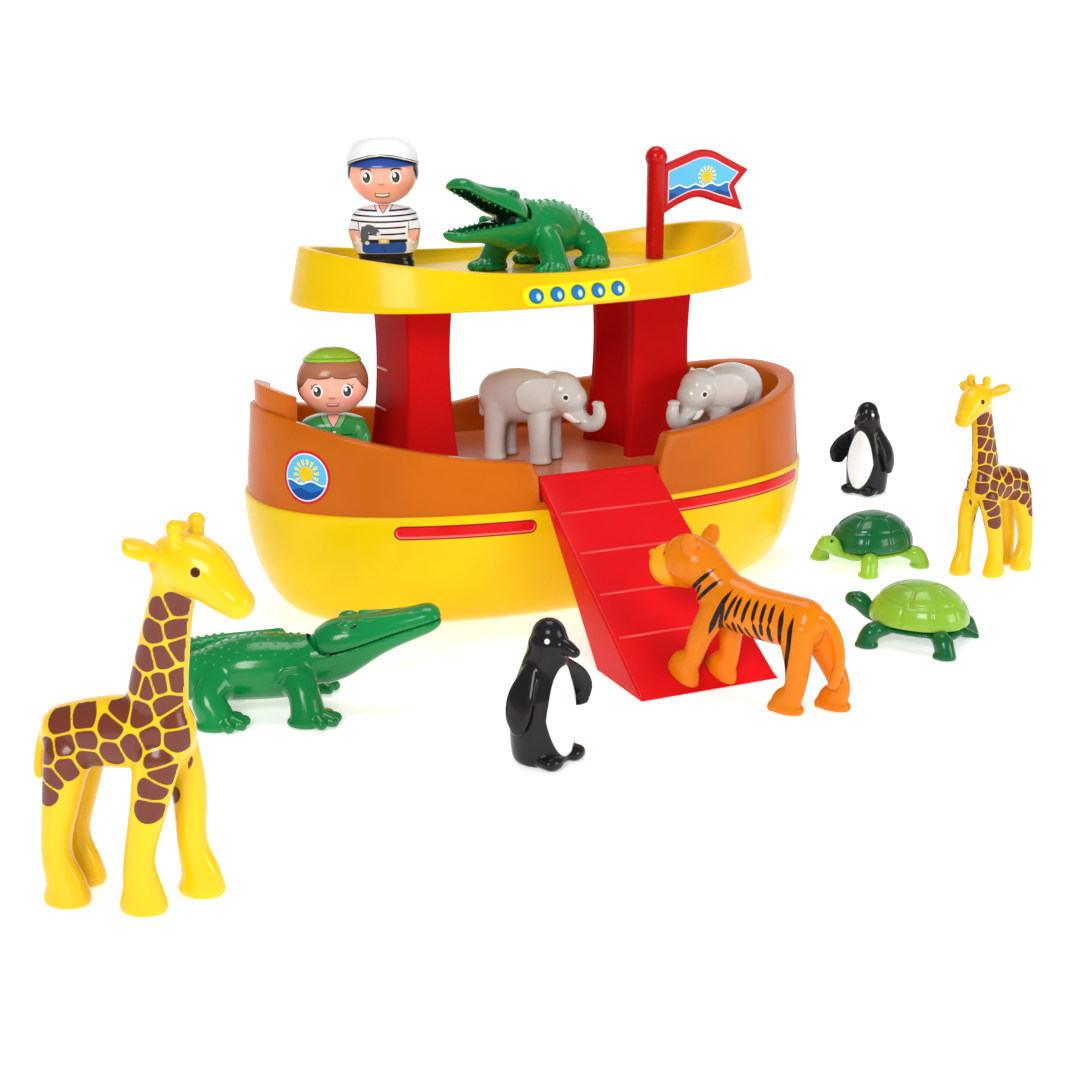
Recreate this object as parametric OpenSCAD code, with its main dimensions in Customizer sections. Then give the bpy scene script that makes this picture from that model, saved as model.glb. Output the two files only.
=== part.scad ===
// Toy ark play set: hull, bulwark, deck, two pillars, roof, ramp, flag, two figures and eleven animals.
// Millimetres. X runs from the bow (-X) to the stern (+X), the ramp is on the -Y side and Z is up.
// The origin is the middle of the hull's flat bottom, on the floor.

/* [Hull] */
// Length of the hull at the seam under the bulwark
hull_l = 380; // [340:1:420]
// Breadth of the hull at the seam under the bulwark
hull_w = 210; // [200:1:230]
// Height of the seam between the hull and the bulwark
seam_z = 75.5; // [68:0.5:78]
// Length of the flat bottom
foot_l = 312; // [260:1:330]
// Breadth of the flat bottom
foot_w = 132; // [100:1:160]
// Wall of the hull tub
hull_wall = 3; // [2:0.1:5]
// Squareness of the hull's oval plan, 2 being an ellipse
plan_power = 2.3; // [2:0.1:2.8]

/* [Bulwark and deck] */
// Step from the hull's edge in to the bulwark
bulwark_step = 1.5; // [0.5:0.1:3]
// Lean of the bulwark wall inwards from seam to rim
bulwark_lean = 4; // [1:0.5:6]
// Width of the flat rim
rim_w = 11; // [9:0.5:13]
// Height of the rim at the bow side of the ramp opening
rim_bow_z = 101.5; // [98:0.5:106]
// Height of the rim at the stern side of the ramp opening
rim_stern_z = 111; // [106:0.5:116]
// Height of the rim at the bow and stern tips
rim_tip_z = 132; // [124:0.5:142]
// Breadth of the raised post at the bow
post_w = 58; // [40:1:70]
// Height of the raised post above the rim
post_h = 14; // [8:1:20]
// Height of the deck's upper face
deck_z = 84; // [82:0.5:87]
// Thickness of the deck
deck_t = 3; // [2:0.1:4]
// Width of the ledge that carries the deck
ledge_w = 4; // [2:0.5:6]
// Gap round the edge of the deck
deck_fit = 0.3; // [0.1:0.1:0.6]

/* [Ramp] */
// Place of the ramp's middle along the hull
ramp_x = -2; // [-10:1:10]
// Width of the ramp at the deck
ramp_top_w = 78.5; // [60:0.5:80]
// Width of the ramp at its toe
ramp_toe_w = 86.5; // [81:0.5:100]
// Height of the ramp's upper end
ramp_top_z = 94.2; // [92:0.1:96]
// Distance of the toe from the hull's middle line
ramp_toe_y = 234; // [215:1:260]
// Distance of the heel of the foot from the hull's middle line
ramp_heel_y = 178; // [165:1:190]
// Thickness of the ramp's plate
ramp_t = 3; // [2:0.1:4]
// Thickness of the ramp's side skirts
skirt_t = 2.5; // [1.5:0.1:4]
// Depth of the skirts where they pass over the hull's edge
skirt_h = 6; // [4.5:0.1:7]
// Count of the raised treads across the ramp
tread_count = 4; // [2:1:8]
// Diameter of the rod that the ramp's hook turns on
rod_d = 5; // [4:0.5:5.5]
// Distance of the rod from the hull's middle line
rod_y = 94; // [93:0.5:95]
// Length of the rod held in each cheek of the opening
rod_grip = 5; // [3:0.5:6]
// Radius of the hook round the rod
hook_r = 4.2; // [4:0.1:4.6]
// Mouth of the hook, which snaps over the rod
hook_mouth = 4.2; // [3:0.1:4.6]
// Running clearance of the hook on the rod, on the radius
hook_fit = 0.06; // [0.03:0.01:0.1]
// Gap between the ramp and each cheek of the opening
ramp_gap = 1; // [0.6:0.1:2]
// Lean of each cheek of the opening, sill to rim
cheek_flare = 7; // [3:0.5:10]

/* [Pillars] */
// Width of the bow pillar along the hull
bow_pillar_w = 28; // [26:1:36]
// Width of the stern pillar along the hull
stern_pillar_w = 41; // [32:1:46]
// Depth of a pillar across the hull
pillar_d = 58; // [50:1:66]
// Place of the bow pillar's middle along the hull
bow_pillar_x = -83; // [-92:1:-70]
// Place of the stern pillar's middle along the hull
stern_pillar_x = 78; // [70:1:84]
// Depth of the hollowed side that faces amidships
scoop = 11; // [6:0.5:14]
// Flare of a pillar at its foot
pillar_flare = 5; // [0:0.5:6]
// Diameter of the pegs that hold a pillar to the deck
peg_d = 8; // [5:0.5:10]
// Clearance of the pegs in the deck, on the radius
peg_fit = 0.1; // [0.05:0.05:0.2]
// Depth of the rungs on the bow pillar
rung_t = 1.2; // [0.6:0.1:2]

/* [Roof] */
// Place of the roof's middle along the hull
roof_x = -3; // [-10:1:5]
// Length of the roof along its lower edge
roof_l = 309; // [290:1:330]
// Breadth of the roof along its lower edge
roof_w = 174; // [160:1:184]
// Height of the roof's lower edge amidships
roof_z = 193; // [185:0.5:200]
// Height of the roof's floor amidships
roof_floor_z = 206; // [203:0.5:209]
// Height of the roof's rim amidships
roof_rim_z = 212; // [210:0.5:218]
// Rise of the roof's rim at bow and stern
roof_sheer = 15.5; // [8:0.5:20]
// Rise of the whole roof from bow to stern
roof_rise = 5; // [0:0.5:9]
// Lean of the roof's side inwards from lower edge to rim
roof_lean = 6; // [2:0.5:8]
// Wall of the roof
roof_wall = 2.6; // [2:0.1:4]
// Squareness of the roof's oval plan, 2 being an ellipse
roof_power = 2.2; // [2:0.1:2.6]

/* [Flag] */
// Place of the flag pole along the hull
flag_x = 88; // [80:1:94]
// Place of the flag pole across the hull
flag_y = 0; // [-20:1:20]
// Diameter of the pole
pole_d = 11.8; // [9:0.1:13]
// Height of the pole to the top of its knob
pole_h = 72; // [60:1:90]
// Diameter of the knob
knob_d = 14.4; // [13:0.1:18]
// Length of the flag from the pole's middle
flag_l = 69; // [60:1:76]
// Thickness of the flag
flag_t = 5; // [3:0.1:6]
// Diameter of the spigot under the pole
spigot_d = 8; // [5:0.1:9]
// Length of the spigot under the pole
spigot_l = 10; // [6:0.5:12]
// Wall of the socket round the spigot
socket_wall = 3; // [2:0.1:4]
// Running clearance of the spigot, on the radius
spigot_fit = 0.08; // [0.03:0.01:0.1]

/* [Figures] */
// Height of a figure's body up to its neck
body_h = 40; // [36:1:46]
// Width of a figure's body
body_w = 42; // [36:1:46]
// Depth of a figure's body
body_d = 26; // [22:1:30]
// Width of a figure's head
head_w = 43; // [36:1:46]
// Height of a figure's head if it were not cut for the cap
head_h = 36; // [32:1:40]
// Depth of a figure's head
head_d = 36; // [30:1:40]
// Height from the neck to the lower edge of the cap
cap_line = 28; // [24:0.5:30]
// Height of the captain's cap
captain_cap_h = 16; // [12:0.5:18]
// Height of the keeper's cap
keeper_cap_h = 11; // [8:0.5:14]
// Diameter of the peg that a head turns on
neck_d = 7; // [5:0.5:9]
// Length of the peg that a head turns on
neck_l = 8; // [5:0.5:10]
// Running clearance of a head on its peg, on the radius
neck_fit = 0.08; // [0.03:0.01:0.1]

/* [Animals] */
// Height of the big giraffe
giraffe_1_h = 165; // [130:1:175]
// Height of the small giraffe
giraffe_2_h = 137; // [120:1:150]
// Height of an elephant
elephant_h = 60; // [52:1:64]
// Height of a penguin
penguin_h = 73; // [60:1:85]
// Height of a turtle
turtle_h = 37; // [32:1:42]
// Height of the tiger
tiger_h = 88; // [80:1:100]
// Length of a crocodile from snout to the bend of its tail
crocodile_l = 165; // [150:1:175]
// Width of a crocodile's jaw knuckle
knuckle_w = 12; // [9:0.5:14]
// Diameter of a crocodile's jaw pin
jaw_pin_d = 3; // [2:0.1:4]
// Running clearance of a jaw on its pin, on the radius
jaw_fit = 0.06; // [0.03:0.01:0.1]
// Gap between a jaw and what it turns past
jaw_gap = 0.5; // [0.4:0.1:0.8]
// Angle at which the roof crocodile's mouth stands open
jaw_open = 24; // [16:1:28]

/* [Places] */
// Place of the captain on the roof
captain_at = [-95, 10]; // [-100:1:30]
// Distance of the keeper from the bow's tip
keeper_from_bow = 47; // [45:1:60]
// Place of the keeper across the hull
keeper_y = -22; // [-24:1:16]
// Place of the crocodile on the roof
roof_crocodile_at = [2, -8]; // [-20:1:10]
// Place of the elephant by the ramp
elephant_1_at = [-7, -10]; // [-30:1:10]
// Distance of the second elephant from the stern's tip
elephant_2_from_stern = 77; // [72:1:80]
// Place of the second elephant across the hull
elephant_2_y = -47.5; // [-49:0.5:-47]
// Place of the big giraffe on the floor
giraffe_1_at = [-348, -339]; // [-420:1:-200]
// Place of the small giraffe on the floor
giraffe_2_at = [291, -117]; // [-140:1:340]
// Place of the crocodile on the floor
floor_crocodile_at = [-229, -159]; // [-300:1:-140]
// Place of the penguin near the ramp
penguin_1_at = [-127, -281]; // [-330:1:-90]
// Place of the penguin behind the stern
penguin_2_at = [342, 102]; // [60:1:400]
// Place of the light turtle
turtle_1_at = [152, -214]; // [-250:1:190]
// Place of the dark turtle
turtle_2_at = [224, -67]; // [-90:1:260]
// Place of the tiger's middle on the ramp
tiger_at = [13, -251]; // [-262:1:20]

/* [Hidden] */
$fn = 48;
// Points round each ring of the hull, the bulwark and the roof
ring_points = 56;
// Space by which a cut runs past the faces that it opens
over = 1;
// Hair of air under a loose piece that stands on the deck, roof or ramp
stand_gap = 0.05;
// Reach and size of the two rings that round off the end of a limb
dome = [[0.45, 0.84], [0.8, 0.48]];

// Plans of the ark's main levels: half length, half breadth
seam_plan = [hull_l / 2, hull_w / 2];
wall_foot = [seam_plan.x - bulwark_step, seam_plan.y - bulwark_step];
wall_top = [wall_foot.x - bulwark_lean, wall_foot.y - bulwark_lean];
wall_inside = [wall_top.x - rim_w, wall_top.y - rim_w];
roof_edge = [roof_l / 2, roof_w / 2];
roof_rim = [roof_edge.x - roof_lean, roof_edge.y - roof_lean];
roof_slope = roof_rise / roof_l;

// Ramp hinge
rod_z = ramp_top_z - hook_r;
opening_w = ramp_top_w + 2 * ramp_gap;
ramp_slope = ramp_top_z / (ramp_toe_y - rod_y);
ramp_angle = atan(ramp_slope);
notch_z = seam_z + 4;

// Pieces that keep their distance from the hull's tips
keeper_at = [keeper_from_bow - hull_l / 2, keeper_y];
elephant_2_at = [hull_l / 2 - elephant_2_from_stern, elephant_2_y];

// Figures
neck_gap = 0.4;
head_z = body_h + neck_gap;
cap_z = head_z + cap_line;

// Crocodile, drawn for a length of 165
croc_k = crocodile_l / 165;
jaw_axis = [31, 0, 33] * croc_k;
knuckle_r = 8 * croc_k;
boss_r = jaw_pin_d / 2 + 2.5;
boss_reach = 15.4 * croc_k;
boss_step = 0.4;
floor_lift = 15;
roof_croc_lift = -2;

function unit(v) = v / norm(v);
function bent(v, n) = sign(v) * pow(abs(v), 2 / n);
function oval(half, n, count) = [for (i = [0:count - 1])
    let (t = 360 * i / count) [half.x * bent(cos(t), n), half.y * bent(sin(t), n)]];
// Ring of an oval plan, either level or with its height given by a function of its points
function level(half, z) = [for (p = oval(half, plan_power, ring_points)) [p.x, p.y, z]];
function clamp(v, low, high) = max(low, min(high, v));
// Height of the bulwark's rim: low at the bow side of the opening, high at its stern side, up to the tips
function rim_mid(x) = (rim_bow_z + rim_stern_z) / 2
    + (rim_stern_z - rim_bow_z) / 2 * sin(90 * clamp((x - ramp_x) / (opening_w / 2), -1, 1));
function rim_height(x) = let (s = pow(x / wall_top.x, 2)) rim_mid(x) * (1 - s) + rim_tip_z * s;
function rim_ring(half, drop) = [for (p = oval(half, plan_power, ring_points)) [p.x, p.y, rim_height(p.x) - drop]];
// Heights on the sloping roof
function roof_lift(x) = roof_slope * x;
function roof_ring(half, z) = [for (p = oval(half, roof_power, ring_points))
    [roof_x + p.x, p.y, z + roof_lift(roof_x + p.x)]];
function roof_rim_ring(half, drop) = [for (p = oval(half, roof_power, ring_points))
    [roof_x + p.x, p.y, roof_rim_z + roof_lift(roof_x + p.x) + roof_sheer * pow(p.x / roof_rim.x, 2) - drop]];

// Closed skin over a stack of rings, with flat ends
module skin(rings) {
    n = len(rings[0]);
    last = (len(rings) - 1) * n;
    polyhedron([for (r = rings) each r], concat(
        [for (i = [0:len(rings) - 2], j = [0:n - 1])
            let (a = i * n + j, b = i * n + (j + 1) % n)
            each [[a, a + n, b + n], [a, b + n, b]]],
        [[for (j = [0:n - 1]) j]],
        [[for (j = [n - 1:-1:0]) last + j]]), convexity = 6);
}

// Closed skin over rings whose last one meets the first, as a hoop
module hoop(rings) {
    n = len(rings[0]);
    m = len(rings);
    polyhedron([for (r = rings) each r],
        [for (i = [0:m - 1], j = [0:n - 1])
            let (k = (j + 1) % n, up = (i + 1) % m)
            each [[i * n + j, up * n + j, up * n + k], [i * n + j, up * n + k, i * n + k]]], convexity = 6);
}

// All its children as one moulding
module moulding() {
    resize([0, 0, 0]) union() children();
}

// Stations of a limb are [x, y, z, half width, half height]
function spot(s) = [s[0], s[1], s[2]];
function heading(path, i) = unit(spot(path[min(i + 1, len(path) - 1)]) - spot(path[max(i - 1, 0)]));
function grown(s, way, ring) = concat(spot(s) + way * min(s[3], s[4]) * ring[0], [s[3], s[4]] * ring[1]);
function rounded(path, start, end) = let (last = len(path) - 1) concat(
    start ? [for (k = [1, 0]) grown(path[0], -heading(path, 0), dome[k])] : [],
    path,
    end ? [for (k = [0, 1]) grown(path[last], heading(path, last), dome[k])] : []);
function tube_rings(path, side, sides) = [for (i = [0:len(path) - 1])
    let (d = heading(path, i), v = unit(side - (side * d) * d), w = cross(d, v))
    [for (k = [0:sides - 1]) let (t = 360 * (k + 0.5) / sides)
        spot(path[i]) + v * path[i][3] * cos(t) + w * path[i][4] * sin(t)]];
// Oval limb along its stations, with round or flat ends
module limb(path, side = [0, 1, 0], sides = 8, start = true, end = true) {
    skin(tube_rings(rounded(path, start, end), side, sides));
}
// Leg that ends in a flat foot on the floor: hip, knee and ankle stations, then the foot's place and halves
module leg(path, foot, foot_half, foot_h) {
    limb(concat(path, [
        [foot.x, foot.y, foot_h, foot_half.y * 0.86, foot_half.x * 0.84],
        [foot.x, foot.y, foot_h * 0.4, foot_half.y, foot_half.x],
        [foot.x, foot.y, 0, foot_half.y * 0.94, foot_half.x * 0.95]]), end = false);
}

module stand(at, turn, z = 0) {
    translate([at.x, at.y, z]) rotate([0, 0, turn]) children();
}
module stand_on_roof(at, turn) {
    translate([at.x, at.y, roof_floor_z + roof_lift(at.x) + stand_gap])
        rotate([0, -atan(roof_slope), 0]) rotate([0, 0, turn]) children();
}

// Ring of the round-bilged tub, from the flat bottom (0) to the seam (1), set in by a wall
function bilge(u, wall) = level(
    [foot_l / 2 + (hull_l - foot_l) / 2 * sin(90 * u) - wall, foot_w / 2 + (hull_w - foot_w) / 2 * sin(90 * u) - wall],
    wall + (seam_z - wall) * (1 - cos(90 * u)));
module hull() {
    steps = 7;
    color("gold") skin(concat(
        [for (i = [0:steps]) bilge(i / steps, 0)],
        [for (i = [steps:-1:0]) bilge(i / steps, hull_wall)]));
}

// Prism across the near wall: an outline in X and Z, run along Y
module cut_across(outline, from_y, to_y) {
    translate([0, to_y, 0]) rotate([90, 0, 0]) linear_extrude(to_y - from_y) polygon(outline);
}
module ramp_opening() {
    half = opening_w / 2;
    rise = rim_stern_z - ramp_top_z;
    top = rim_tip_z;
    spread = cheek_flare * (top - ramp_top_z) / rise;
    cut_across([[ramp_x - half, notch_z], [ramp_x + half, notch_z], [ramp_x + half, ramp_top_z],
        [ramp_x + half + spread, top], [ramp_x - half - spread, top], [ramp_x - half, ramp_top_z]],
        -seam_plan.y - over, -wall_inside.y / 2);
}
module bulwark() {
    bevel = 1.5;
    color("sienna") difference() {
        moulding() difference() {
            union() {
                hoop([
                    level(wall_foot, seam_z),
                    rim_ring(wall_top, bevel),
                    rim_ring([wall_top.x - bevel, wall_top.y - bevel], 0),
                    rim_ring([wall_inside.x + bevel, wall_inside.y + bevel], 0),
                    rim_ring(wall_inside, bevel),
                    level(wall_inside, deck_z - deck_t),
                    level([wall_inside.x - ledge_w, wall_inside.y - ledge_w], deck_z - deck_t),
                    level([wall_inside.x - ledge_w, wall_inside.y - ledge_w], seam_z)]);
                bow_post();
            }
            ramp_opening();
        }
        translate([ramp_x, -rod_y, rod_z]) rotate([0, 90, 0])
            cylinder(d = rod_d + 2 * peg_fit, h = opening_w + 2 * rod_grip + 2 * over, center = true);
    }
}
// Raised stretch of the rim round the bow tip, set in from the rim's edges
module bow_post() {
    inset = 1.5;
    sink = 6;
    outer = [wall_top.x - inset, wall_top.y - inset];
    inner = [wall_inside.x + inset, wall_inside.y + inset];
    reach = asin(post_w / 2 / outer.y);
    steps = 8;
    arc = [for (i = [0:steps]) 180 - reach + 2 * reach * i / steps];
    outline = concat([for (t = arc) [outer.x * cos(t), outer.y * sin(t)]],
        [for (i = [steps:-1:0]) [inner.x * cos(arc[i]), inner.y * sin(arc[i])]]);
    skin([for (lift = [-sink, post_h]) [for (p = outline) [p.x, p.y, rim_height(p.x) + lift]]]);
}

// Distance of a pillar's pegs from its middle, away from its hollowed side
peg_shift = scoop / 2;
module pillar_pegs(x, extra, z, h) {
    for (y = [-1, 1]) translate([x, y * pillar_d / 4, z]) cylinder(d = peg_d + 2 * extra, h = h);
}
module deck() {
    color("peru") difference() {
        skin([for (z = [deck_z - deck_t, deck_z])
            level([wall_inside.x - deck_fit, wall_inside.y - deck_fit], z)]);
        for (x = [bow_pillar_x, stern_pillar_x])
            pillar_pegs(x + sign(x) * peg_shift, peg_fit, deck_z - deck_t - over, deck_t + 2 * over);
    }
}

// Plan of a pillar whose hollowed side faces -X, grown by a flare
function pillar_plan(width, flare) = let (w = width / 2 + flare, d = pillar_d / 2 + flare, lip = 7, ease = 0.8,
    steps = 8) concat(
    [[w - ease, -d], [w, -d + ease], [w, d - ease], [w - ease, d], [-w + ease, d], [-w, d - ease]],
    [for (i = [0:steps]) let (t = i / steps) [-w + ease + (scoop - ease) * sin(180 * t), (d - lip) * (1 - 2 * t)]],
    [[-w, -d + ease], [-w + ease, -d]]);
// Flare at a share of the height: wide at the foot, none at the waist, some at the top
function pillar_grow(t) = let (waist = 0.6)
    t < waist ? pillar_flare * pow(1 - t / waist, 2) : pillar_flare / 2 * pow((t - waist) / (1 - waist), 2);
module pillar(x, width, facing) {
    steps = 6;
    top = roof_floor_z - roof_wall;
    skin([for (i = [0:steps]) let (t = i / steps, plan = pillar_plan(width, pillar_grow(t)), n = len(plan))
        [for (j = [0:n - 1]) let (p = facing > 0 ? plan[j] : plan[n - 1 - j], at = x + facing * p.x)
            [at, p.y, deck_z + (top + roof_lift(at) - deck_z) * t]]]);
    pillar_pegs(x + facing * peg_shift, 0, deck_z - deck_t, deck_t + over);
}
module bow_pillar() {
    rung_z = [139, 164];
    rung_l = 18;
    rung_h = 3;
    rung_y = 8;
    color("firebrick") {
        pillar(bow_pillar_x, bow_pillar_w, -1);
        for (z = rung_z) translate([bow_pillar_x - bow_pillar_w / 2 - rung_t, rung_y, z])
            cube([bow_pillar_w / 2, rung_l, rung_h]);
    }
}
// The stern pillar's top has a pocket for the flag's socket
module stern_pillar() {
    pocket_gap = 0.4;
    color("firebrick") difference() {
        pillar(stern_pillar_x, stern_pillar_w, 1);
        translate([flag_x, flag_y, flag_seat_z() - spigot_l - 3 * over])
            cylinder(d = spigot_d + 2 * (socket_wall + pocket_gap), h = spigot_l + 4 * over);
    }
}

module roof() {
    under = roof_floor_z - roof_wall;
    color("gold") difference() {
        union() {
            skin([
                roof_ring([roof_rim.x - roof_wall, roof_rim.y - roof_wall], under),
                roof_ring([roof_edge.x - roof_wall, roof_edge.y - roof_wall], roof_z),
                roof_ring(roof_edge, roof_z),
                roof_rim_ring(roof_rim, 1),
                roof_rim_ring([roof_rim.x - 1, roof_rim.y - 1], 0),
                roof_rim_ring([roof_rim.x - roof_wall, roof_rim.y - roof_wall], 0.6),
                roof_ring([roof_rim.x - 2 * roof_wall, roof_rim.y - 2 * roof_wall], roof_floor_z)]);
            translate([flag_x, flag_y, flag_seat_z() - spigot_l - over])
                cylinder(d = spigot_d + 2 * socket_wall, h = spigot_l + over);
        }
        translate([flag_x, flag_y, flag_seat_z() - spigot_l - 2 * over])
            cylinder(d = spigot_d + 2 * spigot_fit, h = spigot_l + 4 * over);
    }
}

// Level seat of the pole: the highest point of the sloping roof under its rim
function flag_seat_z() = roof_floor_z + roof_lift(flag_x + pole_d / 2) + stand_gap;
// Flag outline from the pole's middle, heights measured down from the knob's top: a waved swallowtail
function flag_outline() = let (tail = flag_l) [[0, -45.5], [18, -37], [31, -33.5], [46, -37.5], [0.95 * tail, -43],
    [0.85 * tail, -27.5], [tail, -16.5], [53, -9], [42, -4], [31, -3.2], [18, -7.5], [0, -14]];
module flag() {
    corner = 1.6;
    color("red") translate([flag_x, flag_y, flag_seat_z()]) {
        translate([0, 0, pole_h]) rotate([90, 0, 0]) translate([0, 0, -flag_t / 2])
            linear_extrude(flag_t) offset(r = corner) offset(delta = -corner) polygon(flag_outline());
        cylinder(d = pole_d, h = pole_h - knob_d / 2);
        translate([0, 0, pole_h - knob_d / 2]) sphere(d = knob_d);
        translate([0, 0, -spigot_l]) cylinder(d = spigot_d, h = spigot_l + over);
    }
}

// Side view of the ramp in Y and Z: hook, walking face, foot and skirts
function ramp_top(y) = ramp_slope * (y + ramp_toe_y);
// Outline of the ramp's side: round the hook, along the face to the toe, to the heel and back under the skirt
function ramp_side() = let (past_y = -seam_plan.y - 4, steps = 8) concat(
    [for (i = [0:steps]) let (t = -90 + 180 * i / steps)
        [-rod_y + hook_r * cos(t), rod_z + hook_r * sin(t)]],
    [[-ramp_toe_y, 0], [-ramp_heel_y, 0], [past_y, ramp_top(past_y) - skirt_h]]);
// Hollow under the plate, between the skirts and open below
function ramp_hollow() = let (start_y = -rod_y - 2 * hook_r, drop = ramp_t / cos(ramp_angle)) [
    [start_y, ramp_top(start_y) - drop], [-ramp_toe_y + drop / ramp_slope, 0], [-ramp_toe_y + drop / ramp_slope, -over],
    [-ramp_heel_y + 20, -over], [start_y + 6, ramp_top(start_y) - 24]];
function ramp_half(y) = (ramp_top_w + (ramp_toe_w - ramp_top_w) * (-rod_y - y) / (ramp_toe_y - rod_y)) / 2;
// Slab between two sloping sides: an outline in Y and Z, set in from the ramp's sides
module ramp_slab(outline, inset) {
    skin([for (s = [-1, 1]) [for (p = outline) [ramp_x + s * (ramp_half(min(p.x, -rod_y)) - inset), p.x, p.y]]]);
}
module ramp() {
    tread = [1.4, 1.2];
    color("red") difference() {
        moulding() {
            difference() {
                ramp_slab(ramp_side(), 0);
                ramp_slab(ramp_hollow(), skirt_t);
            }
            for (i = [1:tread_count]) let (y = -rod_y - (ramp_toe_y - rod_y) * i / (tread_count + 1.4))
                translate([ramp_x, y, ramp_top(y)]) rotate([ramp_angle, 0, 0])
                    cube([2 * ramp_half(y) - 8, tread.x, tread.y], center = true);
        }
        translate([ramp_x, -rod_y, rod_z]) rotate([0, 90, 0])
            cylinder(d = rod_d + 2 * hook_fit, h = ramp_toe_w, center = true);
        translate([ramp_x - ramp_toe_w / 2, -rod_y - hook_mouth / 2, rod_z - hook_r - over])
            cube([ramp_toe_w, hook_mouth, hook_r + over]);
    }
}
module ramp_rod() {
    color("firebrick") translate([ramp_x, -rod_y, rod_z]) rotate([0, 90, 0])
        cylinder(d = rod_d, h = opening_w + 2 * rod_grip, center = true);
}

// Figures face -Y in their own frame and stand on Z = 0
function figure_ring(z, w, d) = [for (p = oval([w / 2, d / 2], 2.6, 20)) [p.x, p.y, z]];
module figure_body() {
    shape = [[0, 0.83, 0.95], [0.2, 0.83, 0.95], [0.28, 0.79, 0.92], [0.42, 0.95, 0.97], [0.56, 1, 1],
        [0.74, 0.99, 0.98], [0.86, 0.86, 0.88], [0.95, 0.6, 0.7], [1, 0.4, 0.52]];
    skin([for (s = shape) figure_ring(s[0] * body_h, s[1] * body_w, s[2] * body_d)]);
    translate([0, 0, body_h - over]) cylinder(d = neck_d, h = neck_l + over);
}
function head_size(z) = let (u = (z - head_z - head_h / 2) / (head_h / 2)) sqrt(max(0.08, 1 - u * u));
module figure_head() {
    steps = 9;
    difference() {
        skin([for (i = [0:steps]) let (z = head_z + cap_line * i / steps, k = head_size(z))
            figure_ring(z, head_w * k, head_d * k)]);
        translate([0, 0, head_z - over]) cylinder(d = neck_d + 2 * neck_fit, h = neck_l + over);
    }
}
// Caps sit on the flat of the head: a band, a crown and, on the captain's, a visor to the front
captain_shape = [[0, 1.03], [0.3, 1.06], [0.36, 1.14], [0.6, 1.22], [0.78, 1.14], [0.92, 0.8], [1, 0.3]];
keeper_shape = [[0, 1.05], [0.25, 1.06], [0.55, 0.92], [0.82, 0.64], [1, 0.25]];
module figure_cap(shape, cap_h) {
    brim = head_size(cap_z);
    skin([for (s = shape) figure_ring(cap_z + s[0] * cap_h, head_w * brim * s[1], head_d * brim * s[1])]);
}
module cap_visor() {
    brim = head_size(cap_z);
    half = [head_w * brim * 0.46, 10];
    steps = 14;
    skin([for (z = [0, 1.8]) [for (i = [0:steps]) let (t = 180 + 180 * i / steps)
        [half.x * cos(t), half.y * sin(t) - head_d * brim * 0.38, cap_z + z]]]);
}
module stand_captain() {
    stand_on_roof(captain_at, -25) children();
}
module stand_keeper() {
    stand(keeper_at, -20, deck_z + stand_gap) children();
}
module captain_body() { color("white") stand_captain() figure_body(); }
module captain_head() { color("bisque") stand_captain() figure_head(); }
module captain_cap() {
    color("whitesmoke") stand_captain() moulding() {
        figure_cap(captain_shape, captain_cap_h);
        cap_visor();
    }
}
module keeper_body() { color("forestgreen") stand_keeper() figure_body(); }
module keeper_head() { color("bisque") stand_keeper() figure_head(); }
module keeper_cap() { color("yellowgreen") stand_keeper() figure_cap(keeper_shape, keeper_cap_h); }

// Animals face +X in their own frame and stand on Z = 0
// The head is turned a little to the giraffe's right
module giraffe_head() {
    turn = -16;
    translate([31, 0, 0]) rotate([0, 0, turn]) translate([-31, 0, 0]) {
        limb([[28, 0, 136, 8.5, 9], [37, 0, 137.5, 10.5, 11], [47, 0, 134, 9.4, 9.8], [57, 0, 127, 7.4, 7],
            [62, 0, 123.5, 6.4, 5.8]], sides = 10);
        for (s = [-1, 1]) {
            limb([[36, s * 5.5, 144, 3, 3], [36, s * 6, 150.5, 3.4, 3.4]]);
            limb([[30, s * 7, 139, 3, 3.5], [26, s * 12, 141.5, 2.6, 5], [22.5, s * 15, 143, 1.8, 3.6]], side = [0, 0, 1]);
        }
    }
}
module giraffe_form() {
    limb([[-16, 0, 66, 10, 11.5], [-4, 0, 67.5, 11.5, 13.5], [12, 0, 69, 12, 14.5], [24, 0, 71, 10.5, 14]], sides = 10);
    limb([[20, 0, 72, 9.5, 12], [21, 0, 86, 8.5, 11.5], [24, 0, 102, 7.6, 10], [27.5, 0, 118, 7.2, 8.8],
        [31, 0, 130, 7.2, 8.5]], sides = 10);
    giraffe_head();
    limb([[-23, 0, 70, 2.5, 2.5], [-27, 0, 60, 2.2, 2.2], [-28, 0, 50, 3, 3]]);
    leg([[22, -7, 62, 7, 9], [18, -8.5, 44, 6, 7], [13, -9, 22, 5.2, 5.4]], [13, -9], [9.5, 7], 9);
    leg([[24, 7, 62, 7, 8], [27, 8.5, 44, 6, 6.5], [27, 9, 22, 5.2, 5.4]], [30, 9], [9.5, 7], 9);
    leg([[-13, -7, 60, 7.5, 9], [-16, -8.5, 42, 6, 6.8], [-19, -9, 22, 5.2, 5.4]], [-16, -9], [9.5, 7], 9);
    leg([[-13, 7, 60, 7.5, 9], [-17, 8, 42, 6, 6.8], [-21, 8.5, 22, 5.2, 5.4]], [-19, 8.5], [9.5, 7], 9);
}
// The two of a pair are mirror images of each other
module giraffe(at, turn, h, side) {
    color("gold") stand(at, turn) resize([0, 0, h], auto = true) scale([1, side, 1]) giraffe_form();
}
module giraffe_1() { giraffe(giraffe_1_at, -37, giraffe_1_h, 1); }
module giraffe_2() { giraffe(giraffe_2_at, -170, giraffe_2_h, -1); }

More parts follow.
